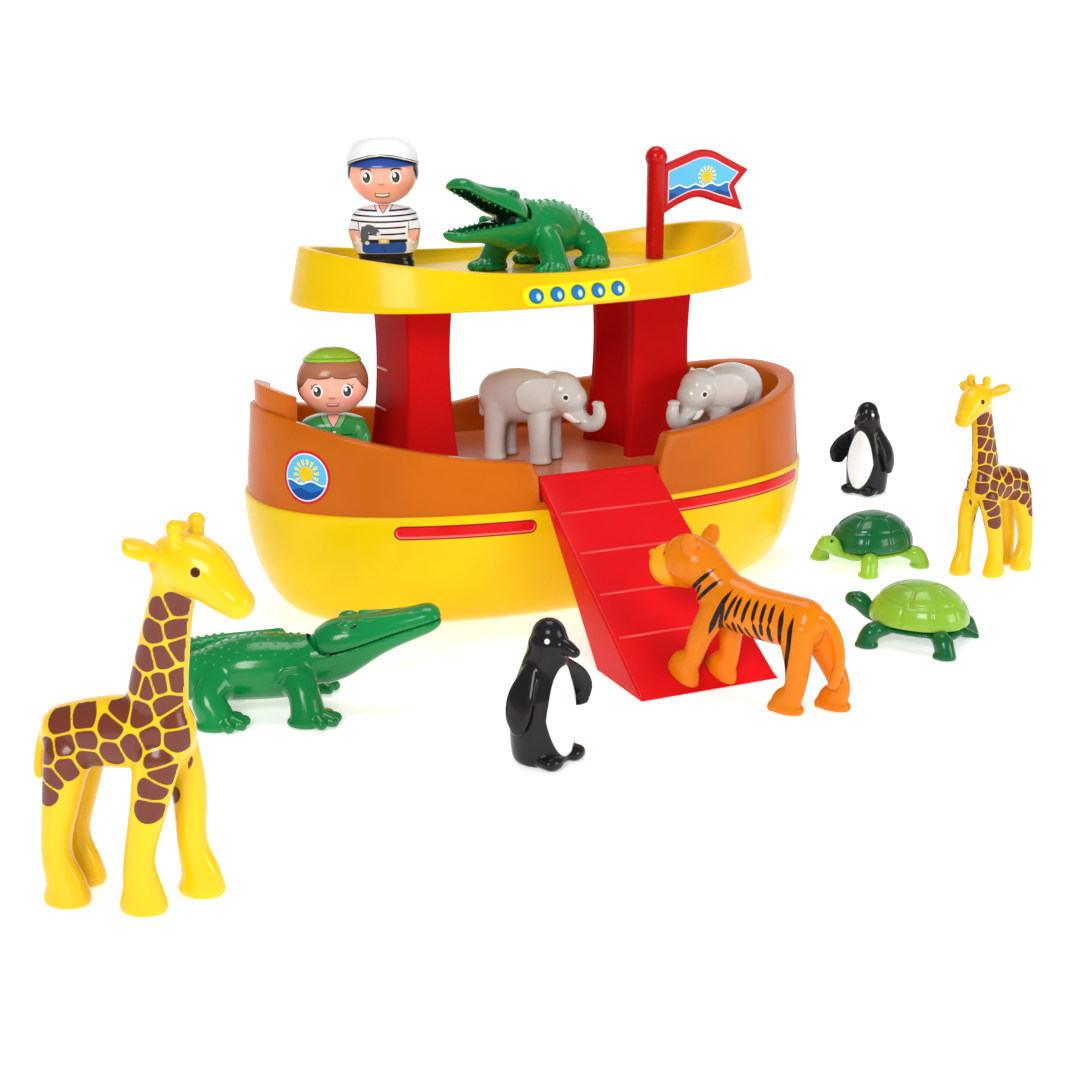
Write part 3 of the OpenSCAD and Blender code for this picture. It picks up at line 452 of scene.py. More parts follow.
def repeat_tree(shape):
    """Tree that sets one shape on each point, turned and sized by the points' own values."""
    tree = bpy.data.node_groups.new("repeat_" + shape, "GeometryNodeTree")
    tree.interface.new_socket("Points", in_out="INPUT", socket_type="NodeSocketGeometry")
    detail = tree.interface.new_socket("Detail", in_out="INPUT", socket_type="NodeSocketInt")
    finish = tree.interface.new_socket("Finish", in_out="INPUT", socket_type="NodeSocketMaterial")
    tree.interface.new_socket("Geometry", in_out="OUTPUT", socket_type="NodeSocketGeometry")

    def add(kind):
        return tree.nodes.new(kind)

    def join(source, output, target, entry):
        tree.links.new(source.outputs[output], target.inputs[entry])

    source, sink = add("NodeGroupInput"), add("NodeGroupOutput")
    kind, sizes, counts = REPEATED[shape]
    form = add("GeometryNodeMesh" + kind)
    for key, size in sizes.items():
        form.inputs[key].default_value = size
    for key in counts:
        join(source, "Detail", form, key)
    place = add("GeometryNodeInstanceOnPoints")
    join(source, "Points", place, "Points")
    join(form, "Mesh", place, "Instance")
    for key, target in (("turn", "Rotation"), ("size", "Scale")):
        named = add("GeometryNodeInputNamedAttribute")
        named.data_type = "FLOAT_VECTOR"
        named.inputs["Name"].default_value = key
        join(named, "Attribute", place, target)
    smooth, real, worn = (add("GeometryNode" + name)
                          for name in ("SetShadeSmooth", "RealizeInstances", "SetMaterial"))
    join(place, "Instances", real, "Geometry")
    join(real, "Geometry", smooth, "Geometry")
    join(smooth, "Geometry", worn, "Geometry")
    join(source, "Finish", worn, "Material")
    join(worn, "Geometry", sink, "Geometry")
    return tree, detail.identifier, finish.identifier


TREES = {}


def repeats(name, shape, points, turns, sizes, finish, body, detail=12):
    """One shape at many points, with Euler turns and sizes in millimetres, as a plain mesh."""
    if shape not in TREES:
        TREES[shape] = repeat_tree(shape)
    tree, detail_id, finish_id = TREES[shape]
    obj = new_object(name, points, [])
    for key, numbers in (("turn", turns), ("size", np.asarray(sizes, float) * MM)):
        layer = obj.data.attributes.new(key, "FLOAT_VECTOR", "POINT")
        layer.data.foreach_set("vector", np.asarray(numbers, np.float32).ravel())
    modifier = obj.modifiers.new("repeats", "NODES")
    modifier.node_group = tree
    modifier[detail_id] = detail
    modifier[finish_id] = finish
    evaluated(obj)
    return dress(obj, finish, body)


def facing(normals):
    """Euler turns that carry +Z on to each normal."""
    return [tuple(Vector(n).to_track_quat("Z", "Y").to_euler("XYZ")) for n in normals]


# Plans of the ark

def oval(half, power, count=224, turn=None):
    """Points round a rounded oval of given half lengths."""
    t = np.arange(count) * 2 * math.pi / count if turn is None else turn
    c, s = np.cos(t), np.sin(t)
    return np.stack([half[0] * np.sign(c) * np.abs(c) ** (2 / power),
                     half[1] * np.sign(s) * np.abs(s) ** (2 / power)], 1)


SEAM_Z, HULL_POWER = 75.5, 2.3
SEAM, FOOT = (190.0, 105.0), (156.0, 66.0)
WALL_FOOT = (188.5, 103.5)
WALL_LEAN, RIM_W, DECK_Z = 4.0, 11.0, 84.0
RIM_MID_Z, RIM_SWELL, RIM_END_Z, RIM_REACH = 106.25, 4.75, 132.0, 184.5
RAMP_X, OPENING_HALF, NOTCH_Z, RAMP_TOP_Z = -2.0, 40.25, 79.5, 94.2
RAMP_HINGE_Y, RAMP_RUN, RAMP_END_Y = -94.0, 140.0, -234.0
RAMP_W, RAMP_SPREAD = 78.5, 8.0
ROOF_X, ROOF_EDGE, ROOF_POWER = -3.0, (154.5, 87.0), 2.2
ROOF_UNDER_Z, ROOF_FOOT_Z, ROOF_FLOOR_Z, ROOF_RIM_Z = 203.4, 194.2, 206.0, 212.0
ROOF_DIP, ROOF_RIM_HALF = 15.5, 148.5
ROOF_SLOPE = 5.0 / 309.0
ROOF_TILT = -math.atan(ROOF_SLOPE)
SEAT_GAP = 0.05
BADGE_AT, BADGE_WAY = (-170.5, -49.5, 96.9), (0.624, 0.782)
PORTHOLE_Z, PORTHOLE_GAP, STRIP_RISE = 200.9, 13.4, 0.033


def rim_height(x):
    """Height of the bulwark's rim, which rises to the bow and the stern."""
    mid = RIM_MID_Z + RIM_SWELL * np.sin(np.radians(90 * np.clip((x - RAMP_X) / OPENING_HALF, -1, 1)))
    s = (x / RIM_REACH) ** 2
    return mid * (1 - s) + RIM_END_Z * s


def level(half, z, power=HULL_POWER):
    """Oval ring at one height."""
    plan = oval(half, power)
    return np.column_stack([plan, np.full(len(plan), z)])


def bilge(a, inset=0.0):
    """Half lengths of the hull's plan at an angle up its rounded bilge."""
    return tuple(foot + (seam - foot) * math.sin(a) - inset for foot, seam in zip(FOOT, SEAM))


def make_hull():
    """Open tub with a rounded bilge, an eased seam and a wall."""
    edge, wall = 1.4, 3.0
    rings = []
    for u in np.linspace(0, 1, 34):
        a = math.radians(90 * u)
        rings.append(level(bilge(a), (SEAM_Z - edge) * (1 - math.cos(a))))
    for a in np.radians([30, 60, 90]):
        cut = edge * (1 - math.cos(a))
        rings.append(level((SEAM[0] - cut, SEAM[1] - cut), SEAM_Z - edge + edge * math.sin(a)))
    for u in (1.0, 0.8, 0.55, 0.3, 0.0):
        a = math.radians(90 * u)
        rings.append(level(bilge(a, wall), wall + (SEAM_Z - wall) * (1 - math.cos(a))))
    obj = tidy(new_object("hull_tub", *loft(rings)))
    dress(obj, hull_finish(), "ark", ["hull"])


def hull_finish():
    """Hull yellow with the two printed red stripes below the seam."""
    finish = Finish("hull_yellow", coat=0.15, shine=0.1)
    x, y, z = finish.local(Matrix.Identity(4))
    put = finish.on(1 - y.step(-2.0, 0.0))
    finish.ground(tint("hull"))
    for cx, cz, half in ((-87.4, 66.3, 41.5), (104.5, 68.2, 60.0)):
        red = bar(x, z, cx, cz, half - 0.9, 3.4, 3.3)
        line = red - bar(x, z, cx, cz + 0.3, half - 1.7, 2.5, 2.4)
        put(linear(140, 12, 20), bar(x, z, cx, cz, half, 4.3, 4.2))
        put(linear(222, 16, 18), red)
        put(linear(240, 120, 120), line * (1 - z.step(66.0, 69.5)) * 0.8)
    return finish.done()


def cheek_x(z, hand):
    """X of the opening's cheek at a height, on its bow (-1) or stern (1) side."""
    return RAMP_X + hand * (OPENING_HALF + 7.0 * np.maximum(0.0, z - RAMP_TOP_Z) / 16.8)


def plan_turn(x, half_x, side):
    """Turn of the oval's near side at an X, in radians."""
    c = np.clip(np.abs(x) / half_x, 0, 1) ** (HULL_POWER / 2)
    return 2 * math.pi - np.arccos(c) if side > 0 else math.pi + np.arccos(c)


def rim_profile(x, bevel=2.2):
    """Cross section of the bulwark at X: distance in from the wall's foot, and height."""
    top = rim_height(x)
    rows = [(0.0, SEAM_Z)]
    for share in (0.25, 0.5, 0.75):
        rows.append((WALL_LEAN * share, SEAM_Z + (top - bevel - SEAM_Z) * share))
    rows.append((WALL_LEAN, top - bevel))
    for a in np.radians([22, 45, 68, 90]):
        rows.append((WALL_LEAN + bevel * (1 - math.cos(a)), top - bevel + bevel * math.sin(a)))
    inner = WALL_LEAN + RIM_W
    for a in np.radians([90, 60, 30, 0]):
        rows.append((inner - bevel * (1 - math.cos(a)), top - bevel + bevel * math.sin(a)))
    rows += [(inner, DECK_Z + 6), (inner, DECK_Z - 3), (inner + 4, DECK_Z - 3), (inner + 4, SEAM_Z)]
    return np.array(rows)


def shrunk(profile, depth):
    """Cross section set in by a depth all round."""
    ahead, back = np.roll(profile, -1, 0), np.roll(profile, 1, 0)
    way = ahead - back
    normal = np.stack([-way[:, 1], way[:, 0]], 1)
    normal /= np.maximum(np.linalg.norm(normal, axis=1), 1e-9)[:, None]
    area = np.sum(profile[:, 0] * ahead[:, 1] - ahead[:, 0] * profile[:, 1])
    return profile + normal * depth * (1 if area > 0 else -1)


def bulwark_section(share, ease, depth):
    """One section of the bulwark; share runs from the stern cheek round to the bow cheek."""
    x_guess = cheek_x(100.0, 1 if share < 0.5 else -1)
    rows = rim_profile(x_guess)
    out = np.zeros((len(rows), 3))
    for _ in range(3):
        for j in range(len(rows)):
            inset = rows[j][0]
            half = (WALL_FOOT[0] - inset, WALL_FOOT[1] - inset)
            start = plan_turn(cheek_x(rows[j][1], 1) + ease, half[0], 1)
            end = plan_turn(cheek_x(rows[j][1], -1) - ease, half[0], -1) + 2 * math.pi
            turn = np.array([start + (end - start) * share])
            out[j, :2] = oval(half, HULL_POWER, turn=turn)[0]
        rows = np.array([rim_profile(out[j, 0])[j] for j in range(len(rows))])
        if depth:
            rows = shrunk(rows, depth)
        out[:, 2] = rows[:, 1]
    return out


def make_bulwark():
    """Wall round the deck with eased cheeks at the ramp's opening, its sill and the bow post."""
    ease = 1.8
    caps = [(ease * (1 - math.sin(a)), ease * (1 - math.cos(a))) for a in np.radians([90, 66, 44, 22])]
    rings = [bulwark_section(0.0, e, d) for e, d in caps]
    rings += [bulwark_section(s, ease, 0.0) for s in np.linspace(0, 1, 250)]
    rings += [bulwark_section(1.0, e, d) for e, d in reversed(caps)]
    wall = loft(rings)
    sill_turn = np.linspace(plan_turn(-60.0, 188.0, -1), plan_turn(56.0, 188.0, 1), 40)
    sill = []
    for t in sill_turn:
        ring = []
        for inset, z in ((0.0, SEAM_Z), (0.4, NOTCH_Z - 1), (1.2, NOTCH_Z), (15.0, NOTCH_Z),
                         (19.0, SEAM_Z)):
            p = oval((WALL_FOOT[0] - inset, WALL_FOOT[1] - inset), HULL_POWER, turn=np.array([t]))[0]
            ring.append((p[0], p[1], z))
        sill.append(ring)
    obj = tidy(new_object("bulwark_wall", *join_forms([wall, loft(sill)])))
    FINISHES["bulwark_brown"] = bulwark_finish()
    dress(obj, FINISHES["bulwark_brown"], "ark", ["bulwark"])
    make_bow_post()


def sun_and_waves(finish, u, v, size, low):
    """A printed picture of a sun with rays over a waved sea."""
    wave = finish.node("Math", {"operation": "SINE"}, {0: u * (0.42 / size)})
    ray = finish.node("Math", {"operation": "ARCTAN2"}, {0: v - 2.0 * size, 1: u})
    beam = finish.node("Math", {"operation": "SINE"}, {0: ray * 14.0}).step(-0.2, 0.2)
    sun = (u ** 2.0 + (v - 2.0 * size) ** 2.0).root()
    art = finish.mix(linear(96, 190, 234), linear(252, 222, 70),
                     beam * between(sun, 5.4 * size, 8.6 * size, 0.2))
    art = finish.mix(art, linear(250, 196, 20), 1 - sun.step(4.5 * size, 4.8 * size))
    near, deep = v + 3.2 + low * 0.1 - wave * (1.1 * size), v + 7.6 + low * 0.1 + wave * size
    art = finish.mix(art, linear(30, 112, 190), 1 - near.step(-0.15, 0.15))
    art = finish.mix(art, linear(240, 248, 252), between(near, -0.45, 0.45, 0.15))
    return finish.mix(art, linear(16, 74, 150), 1 - deep.step(-0.15, 0.15))


def bulwark_finish():
    """Orange brown with a round printed badge of a sun over waves near the bow."""
    finish = Finish("bulwark_brown", rough=0.22, coat=0.06, shine=0.08)
    x, y, z = finish.local(Matrix.Identity(4))
    finish.ground(tint("bulwark"), 0.09)
    right, back = x - BADGE_AT[0], y - BADGE_AT[1]
    u, v = right * BADGE_WAY[0] - back * BADGE_WAY[1], z - BADGE_AT[2]
    put = finish.on(between(right * BADGE_WAY[1] + back * BADGE_WAY[0], -12.0, 12.0))
    far = (u ** 2.0 + v ** 2.0).root()
    art = sun_and_waves(finish, u, v, 1.0, 0.0)
    put(linear(168, 16, 30), 1 - far.step(15.7, 16.0))
    put(linear(226, 30, 36), between(far, 14.6, 15.5, 0.15))
    put(linear(232, 236, 240), 1 - far.step(14.1, 14.4))
    put(art, 1 - far.step(13.3, 13.6))
    return finish.done()


def make_bow_post():
    """Raised post on the bulwark's rim at the bow."""
    outer, inner = (183.0, 98.0), (175.0, 90.0)
    reach = math.asin(29.0 / 98.0)
    arc = np.linspace(math.pi - reach, math.pi + reach, 25)
    outline = [(outer[0] * math.cos(t), outer[1] * math.sin(t)) for t in arc]
    outline += [(inner[0] * math.cos(t), inner[1] * math.sin(t)) for t in reversed(arc)]
    rings = [[(x, y, float(rim_height(np.array(x))) + lift) for x, y in outline]
             for lift in (-6.0, 4.0, 14.0)]
    obj = tidy(new_object("bow_post", *loft(rings)), bevel=1.6, segments=4, angle=50)
    dress(obj, FINISHES["bulwark_brown"], "ark")


def roof_lift(x):
    """Rise of the roof towards the stern."""
    return ROOF_SLOPE * x


def roof_floor(x):
    """Height at which a piece stands on the roof."""
    return ROOF_FLOOR_Z + ROOF_SLOPE * x + SEAT_GAP


def make_roof():
    """Tray with a leaning wall and a rim that dips amidships."""
    lean, band, bevel, ease = 6.0, 7.0, 2.0, 1.2

    def ring(inset, z_of):
        plan = oval((ROOF_EDGE[0] - inset, ROOF_EDGE[1] - inset), ROOF_POWER)
        x = plan[:, 0]
        return np.column_stack([x + ROOF_X, plan[:, 1], z_of(x) + roof_lift(x + ROOF_X)])

    def low(z):
        return lambda x: np.full(len(x), z)

    def dipped(z, x):
        return z + ROOF_DIP * (x / ROOF_RIM_HALF) ** 2

    def rim(drop):
        return lambda x: dipped(ROOF_RIM_Z, x) - drop

    def wall(share):
        return lambda x: ROOF_FOOT_Z + (dipped(ROOF_RIM_Z - bevel, x) - ROOF_FOOT_Z) * share

    def fall(share):
        return lambda x: dipped(ROOF_RIM_Z - ease, x) * (1 - share) + (ROOF_FLOOR_Z + 1.0) * share

    eaves = ((9.0, ROOF_UNDER_Z), (3.4, 194.0), (3.0, 193.2), (2.2, 193.0), (1.0, 193.0), (0.3, 193.4),
             (0.0, ROOF_FOOT_Z))
    rings = [ring(inset, low(z)) for inset, z in eaves]
    rings += [ring(lean * share, wall(share)) for share in np.linspace(0.12, 1.0, 8)]
    for a in np.radians([25, 50, 70, 90]):
        rings.append(ring(lean + bevel * (1 - math.cos(a)), rim(bevel - bevel * math.sin(a))))
    for a in np.radians([90, 60, 30, 0]):
        rings.append(ring(lean + band - ease * (1 - math.cos(a)), rim(ease - ease * math.sin(a))))
    rings += [ring(lean + band + 3.0 * share, fall(share)) for share in (0.35, 0.7)]
    rings += [ring(lean + band + 4.5, low(ROOF_FLOOR_Z + 0.5)), ring(lean + band + 7.0, low(ROOF_FLOOR_Z))]
    obj = tidy(new_object("roof_shell", *loft(rings)))
    dress(obj, roof_finish(), "ark", ["roof"])


def roof_finish():
    """Roof yellow with the printed strip of five portholes on its near side."""
    finish = Finish("roof_yellow", coat=0.15, shine=0.1)
    x, y, z = finish.local(Matrix.Identity(4))
    put = finish.on(1 - y.step(-62.0, -60.0))
    finish.ground(tint("roof"))
    v = z - x * STRIP_RISE
    put(linear(250, 222, 30), bar(x, v, -10.1, PORTHOLE_Z, 35.0, 5.6, 5.0))
    for i in range(5):
        cx = -37.0 + PORTHOLE_GAP * i
        put(linear(12, 84, 62), blob(x, v, cx, PORTHOLE_Z, 4.7, 4.4))
        put(linear(28, 120, 196), blob(x, v, cx, PORTHOLE_Z, 3.9, 3.6))
        put(linear(205, 232, 250), blob(x, v, cx + 1.3, PORTHOLE_Z - 0.6, 1.3, 1.9, 0.4))
    return finish.done()


def make_deck():
    """Deck and ramp rod, as the solids have them."""
    paint("deck", plastic("deck_orange", tint("deck"), rough=0.3))
    paint("ramp_rod", plastic("bright_red", tint("ramp"), coat=0.1, shine=0.12))


def inside_outline(points, outline):
    """Signed distance from an outline, positive inside."""
    outline = np.asarray(outline, float)
    far = np.full(len(points), 1e9)
    crossed = np.zeros(len(points), bool)
    for a, b in zip(outline, np.roll(outline, -1, 0)):
        way = b - a
        t = np.clip(((points - a) @ way) / (way @ way), 0, 1)
        far = np.minimum(far, np.linalg.norm(points - a - t[:, None] * way, axis=1))
        spans = (a[1] > points[:, 1]) != (b[1] > points[:, 1])
        with np.errstate(divide="ignore", invalid="ignore"):
            meet = a[0] + (points[:, 1] - a[1]) * way[0] / way[1]
        crossed ^= spans & (points[:, 0] < meet)
    return np.where(crossed, far, -far)


# Pillars, ramp and flag

WAIST, FOOT_FLARE, HEAD_FLARE = 0.6, 5.0, 2.5
RUNGS = [(-98.3, 17.0, 120.5), (-97.1, 17.0, 145.5)]


def pillar_plan(width, flare):
    """Plan of a pillar whose hollowed side faces -X, with rounded corners."""
    w, d, lip, scoop, r = width / 2 + flare, 29.0 + flare, 7.0, 12.0, 2.4

    def corner(cx, cy, start):
        return [(cx + r * math.cos(a), cy + r * math.sin(a))
                for a in np.radians(start + np.linspace(0, 90, 7))]

    hollow = [(-w + scoop * math.sin(math.pi * t) ** 0.9, (d - lip) * (1 - 2 * t))
              for t in np.linspace(0, 1, 33)]
    return np.array(corner(w - r, -d + r, -90) + corner(w - r, d - r, 0) + corner(-w + r, d - r, 90)
                    + hollow + corner(-w + r, -d + r, 180))


def make_pillars():
    """Two flared columns, and the bow column's two rungs, coloured pale pink as a painted highlight."""
    red = plastic("pillar_red", tint("pillar"), rough=0.3, coat=0.0, depth=0.1, shine=0.008)
    for name, x, width, face in (("bow_pillar", -83.0, 28.0, -1), ("stern_pillar", 78.0, 41.0, 1)):
        rings = []
        for t in np.linspace(0, 1, 41):
            flare = (FOOT_FLARE * (1 - t / WAIST) ** 2 if t < WAIST
                     else HEAD_FLARE * ((t - WAIST) / (1 - WAIST)) ** 2)
            plan = pillar_plan(width, flare)
            at = x + face * plan[:, 0]
            rings.append(np.column_stack([at, plan[:, 1],
                                          DECK_Z + (ROOF_UNDER_Z + roof_lift(at) - DECK_Z) * t]))
        obj = tidy(new_object(name + "_column", *loft(rings)))
        dress(obj, red, "ark", [name])
    # The rungs are pale pink instead of the pillar red: a painted highlight along their edges.
    repeats("bow_pillar_rungs", "bar", RUNGS, [(math.pi / 2, 0, 0)] * 2, [(0.7, 0.8, length("rung"))] * 2,
            plastic("rung_red", linear(246, 170, 160)), "ark", 20)


def ramp_top(y):
    """Height of the ramp's upper face."""
    return RAMP_TOP_Z / RAMP_RUN * (y - RAMP_END_Y)


def ramp_half(y):
    """Half width of the ramp, which spreads towards its foot."""
    return (RAMP_W + RAMP_SPREAD * (RAMP_HINGE_Y - min(y, RAMP_HINGE_Y)) / RAMP_RUN) / 2


def ramp_ring(y):
    """Section across the ramp: an eased top, two side walls and a hollow between them."""
    wall, plate = 2.5, 3.6
    w, top = ramp_half(y), ramp_top(y)
    foot = 78.1 * (y + 178.0) / 69.0 if y > -178 else 0.0
    foot = min(foot, 78.1 + 7.7 * max(0.0, (y + 109.0) / 15.0)) if y > -109 else max(0.0, foot)
    foot = min(foot, top - 0.05)
    under = foot if y > -102.4 else max(foot, top - plate)
    r = min(1.6, max(0.02, (top - foot) * 0.45))
    ring = [(-w, foot)]
    ring += [(-w + r + r * math.cos(a), top - r + r * math.sin(a))
             for a in np.radians(np.linspace(180, 90, 6))]
    ring += [(-w * share, top) for share in (0.6, 0.2, -0.2, -0.6)]
    ring += [(w - r + r * math.cos(a), top - r + r * math.sin(a))
             for a in np.radians(np.linspace(90, 0, 6))]
    ring += [(w, foot), (w - wall, foot), (w - wall, under), (-w + wall, under), (-w + wall, foot)]
    return [(RAMP_X + x, y, z) for x, z in ring]


HOOK_Z, HOOK_OUT, HOOK_MID, HOOK_IN = 90.0, 4.2, 3.41, 2.62
HOOK_EASE = [(0.9, 0.0), (0.25, 0.65), (0.0, 1.6)]


def ramp_hook():
    """Open hook along the ramp's top edge, with eased ends."""
    def arc(radius):
        return [(RAMP_HINGE_Y + radius * math.cos(a), HOOK_Z + radius * math.sin(a))
                for a in np.radians(np.linspace(-56, 236, 48))]

    section = np.array(arc(HOOK_OUT) + arc(HOOK_IN)[::-1])
    mid = np.array(arc(HOOK_MID) + arc(HOOK_MID)[::-1])
    rings = []
    for hand, rows in ((-1, HOOK_EASE), (1, HOOK_EASE[::-1])):
        for inset, shift in rows:
            w = (ramp_half(RAMP_HINGE_Y) - shift) * hand
            ring = section + (mid - section) * min(1.0, inset / 0.9 * 0.8)
            rings.append([(RAMP_X + w, y, z) for y, z in ring])
    return loft(rings)


def make_ramp():
    """Ramp plate with its hook, and four treads."""
    red = plastic("ramp_red", tint("ramp"), rough=0.24, coat=0.06, depth=0.06, shine=0.1)
    plate = loft([ramp_ring(y) for y in np.concatenate([np.linspace(-97.0, -226.0, 90),
                                                        np.linspace(-227.0, -233.4, 14)])])
    obj = tidy(new_object("ramp_plate", *join_forms([plate, ramp_hook()])))
    dress(obj, red, "ramp", ["ramp"])
    rows = [RAMP_HINGE_Y - RAMP_RUN * i / 5.4 for i in range(1, 5)]
    repeats("ramp_treads", "bar", [(RAMP_X, y, ramp_top(y) - 0.1) for y in rows],
            [(0, math.pi / 2, 0)] * len(rows),
            [(length("tread"), 0.9, 2 * ramp_half(y) - 8) for y in rows],
            plastic("tread_red", linear(238, 70, 66), rough=0.2), "ramp", 16)


FLAG_X, FLAG_SEAT, FLAG_HIGH = 88.0, roof_floor(93.9), 72.0
POLE_R, KNOB_R = 5.9, 7.2
FLAG_LOW = [[3, -44.8], [18, -37], [31, -33.5], [46, -37.5], [65.5, -43]]
FLAG_END = [[65.5, -43], [58.8, -27.5], [69, -16.5]]
FLAG_TOP = [[3, -12.8], [18, -7.5], [31, -3.2], [42, -4], [53, -9], [69, -16.5]]


def evenly(points, count):
    """Points spread evenly along a smooth curve."""
    path = smooth_path([[x, 0, z] for x, z in points], 0.4)[:, [0, 2]]
    far = np.concatenate([[0], np.cumsum(np.linalg.norm(np.diff(path, axis=0), axis=1))])
    at = np.linspace(0, far[-1], count)
    return np.stack([np.interp(at, far, path[:, 0]), np.interp(at, far, path[:, 1])], 1)


def flag_sheet():
    """Cloth as a closed sheet with rounded rims: a patch between its four edges."""
    cols, rows = 92, 56
    low, top = evenly(FLAG_LOW, cols), evenly(FLAG_TOP, cols)
    end = np.concatenate([evenly(FLAG_END[:2], rows // 2)[:-1],
                          evenly(FLAG_END[1:], rows - rows // 2 + 1)])
    u, v = np.meshgrid(np.linspace(0, 1, cols), np.linspace(0, 1, rows))
    u, v = u[..., None], v[..., None]
    start = low[0] * (1 - v) + top[0] * v
    flat = (low[None] * (1 - v) + top[None] * v + start * (1 - u) + end[:, None] * u
            - (low[0] * (1 - u) * (1 - v) + low[-1] * u * (1 - v)
               + top[0] * (1 - u) * v + top[-1] * u * v))
    plan = flat.reshape(-1, 2)
    rim = np.concatenate([low, end[1:], top[::-1][1:]])
    inset = np.maximum(inside_outline(plan, rim), 0.0)
    half = 2.5 - 1.4 * np.clip(1 - inset / 1.4, 0, 1) ** 2
    verts = np.concatenate([np.column_stack([plan[:, 0], -half, plan[:, 1]]),
                            np.column_stack([plan[:, 0], half, plan[:, 1]])])
    faces, n = [], cols * rows
    for j in range(rows - 1):
        for i in range(cols - 1):
            a = j * cols + i
            faces.append((a, a + 1, a + cols + 1, a + cols))
            faces.append((n + a, n + a + cols, n + a + cols + 1, n + a + 1))
    loop = list(range(cols)) + [j * cols + cols - 1 for j in range(1, rows)]
    loop += [(rows - 1) * cols + i for i in range(cols - 2, -1, -1)]
    loop += [j * cols for j in range(rows - 2, 0, -1)]
    for a, b in zip(loop, loop[1:] + loop[:1]):
        faces.append((b, a, n + a, n + b))
    return (verts, faces), np.concatenate([inset, inset])


def make_flag():
    """Flag with its printed panel, and its pole with a round knob."""
    red = plastic("flag_red", tint("flag"), rough=0.22, coat=0.2, shine=0.15)
    (verts, faces), inset = flag_sheet()
    finish = Finish("flag_print", rough=0.24, coat=0.08, shine=0.1)
    tip = FLAG_SEAT + FLAG_HIGH
    x, y, z = finish.local(Matrix.Translation(Vector((FLAG_X, 0.0, tip)) * MM))
    put = finish.on(1 - y.step(-1.6, -1.4))
    art = sun_and_waves(finish, x - 37.0, z + 22.0 - (x - 32.0) * 0.03, 0.8, 6.0)
    edge = finish.mark("inset")
    finish.ground(tint("flag"))
    put(linear(240, 214, 210), edge.step(4.6, 4.9) * x.step(7.0, 7.4))
    put(art, edge.step(5.3, 5.6) * x.step(7.8, 8.2))
    finished("flag_cloth", (verts + np.array([FLAG_X, 0.0, tip]), faces), finish.done(), "flag",
             ["flag"], marks={"inset": inset}, sharp=60)
    turn = np.arange(40) * math.pi / 20
    knob_z = FLAG_HIGH - KNOB_R
    rows = [(5.3, 0.0), (POLE_R, 0.6), (POLE_R, knob_z - math.sqrt(KNOB_R ** 2 - POLE_R ** 2))]
    rows += [(KNOB_R * math.cos(a), knob_z + KNOB_R * math.sin(a))
             for a in np.radians(np.linspace(-32, 88, 18))]
    pole = loft([np.column_stack([FLAG_X + r * np.cos(turn), r * np.sin(turn), np.full(40, FLAG_SEAT + z)])
                 for r, z in rows])
    dress(tidy(new_object("flag_pole", *pole)), red, "flag")


# Figures face -Y in their own millimetres

# Rows up a figure's body: share of its height, of its half width and of its half depth
BODY_ROWS = [[0, .83, .95], [.2, .83, .95], [.28, .79, .92], [.42, .95, .97], [.56, 1, 1], [.74, .99, .98],
             [.86, .95, .95], [.93, .84, .86], [.98, .6, .66], [1, .36, .46]]
BODY_H, HEAD_MID, HEAD_RISE = 43.4, 63.2, 19.5
HEAD_HALF, HEAD_POWER = (20.8, 17.4), 2.3
# Lower edges of hair and caps: turn from the front in degrees, and height
CAPTAIN_HAIR = ([0, 56, 64, 74, 90, 112, 180], [88, 88, 65, 60, 58, 55, 53])
CAPTAIN_CAP = ([0, 20, 40, 60, 80, 110, 180], [72.2, 71.4, 69.6, 67.8, 66.6, 65.6, 64.8])
KEEPER_HAIR = ([0, 6, 26, 46, 58, 74, 92, 120, 180], [69.2, 68.0, 67.4, 68.0, 63.0, 60.0, 51, 47, 45])
KEEPER_CAP = ([0, 60, 120, 180], [77.2, 76.6, 75.6, 75.0])
VISOR_SECTION = ((0.0, -0.8), (0.0, 0.4), (0.3, 0.9), (0.6, 1.5), (0.9, 2.1), (1.0, 2.0), (1.0, 1.2),
                 (0.9, -0.8))


def turned(rows, power=2.6, count=96):
    """Skin over ovals given as rows of half width, half depth and height."""
    return loft([np.column_stack([oval((w, d), power, count), np.full(count, z)]) for w, d, z in rows])


def figure_body_form():
    """Peg-shaped body with its arms moulded to its sides."""
    rows = smooth_path([[0, 0, z * BODY_H, w * 21, d * 13] for z, w, d in BODY_ROWS], 0.7)
    torso = turned([(s[3], s[4], max(0.02, s[2])) for s in rows])
    arms = [limb([[s * 15.5, -2, 36, 4.6, 4.4], [s * 18, -4.5, 29, 4.0, 4.2],
                  [s * 16.6, -7.5, 22.5, 3.4, 3.6]]) for s in (-1, 1)]
    verts, faces = moulded([torso] + arms, 0.6, 4)
    verts[:, 2] = np.clip(verts[:, 2], 0.02, BODY_H)
    return verts, faces


def figure_head_form(hairline, nose_z):
    """Egg-shaped head with a nose and raised hair, and how far each point is inside the hair."""
    rows = []
    for a in np.radians(np.linspace(-86, 86, 110)):
        k = math.cos(a)
        rows.append((HEAD_HALF[0] * k, HEAD_HALF[1] * k, HEAD_MID + HEAD_RISE * math.sin(a)))
    verts, faces = turned(rows, HEAD_POWER, 160)
    x, y, z = verts.T
    round_turn = np.degrees(np.arctan2(np.abs(x), -y))
    hair = z - np.interp(round_turn, *hairline)
    out = np.stack([x / HEAD_HALF[0] ** 2, y / HEAD_HALF[1] ** 2, (z - HEAD_MID) / HEAD_RISE ** 2], 1)
    out /= np.maximum(np.linalg.norm(out, axis=1), 1e-6)[:, None]
    rise = 0.7 * np.clip(hair / 0.9, 0, 1)
    nose = 1.4 * np.exp(-((x / 2.0) ** 2 + ((z - nose_z) / 1.7) ** 2)) * (y < 0)
    verts = verts + out * rise[:, None]
    verts[:, 1] -= nose
    return (verts, faces), hair


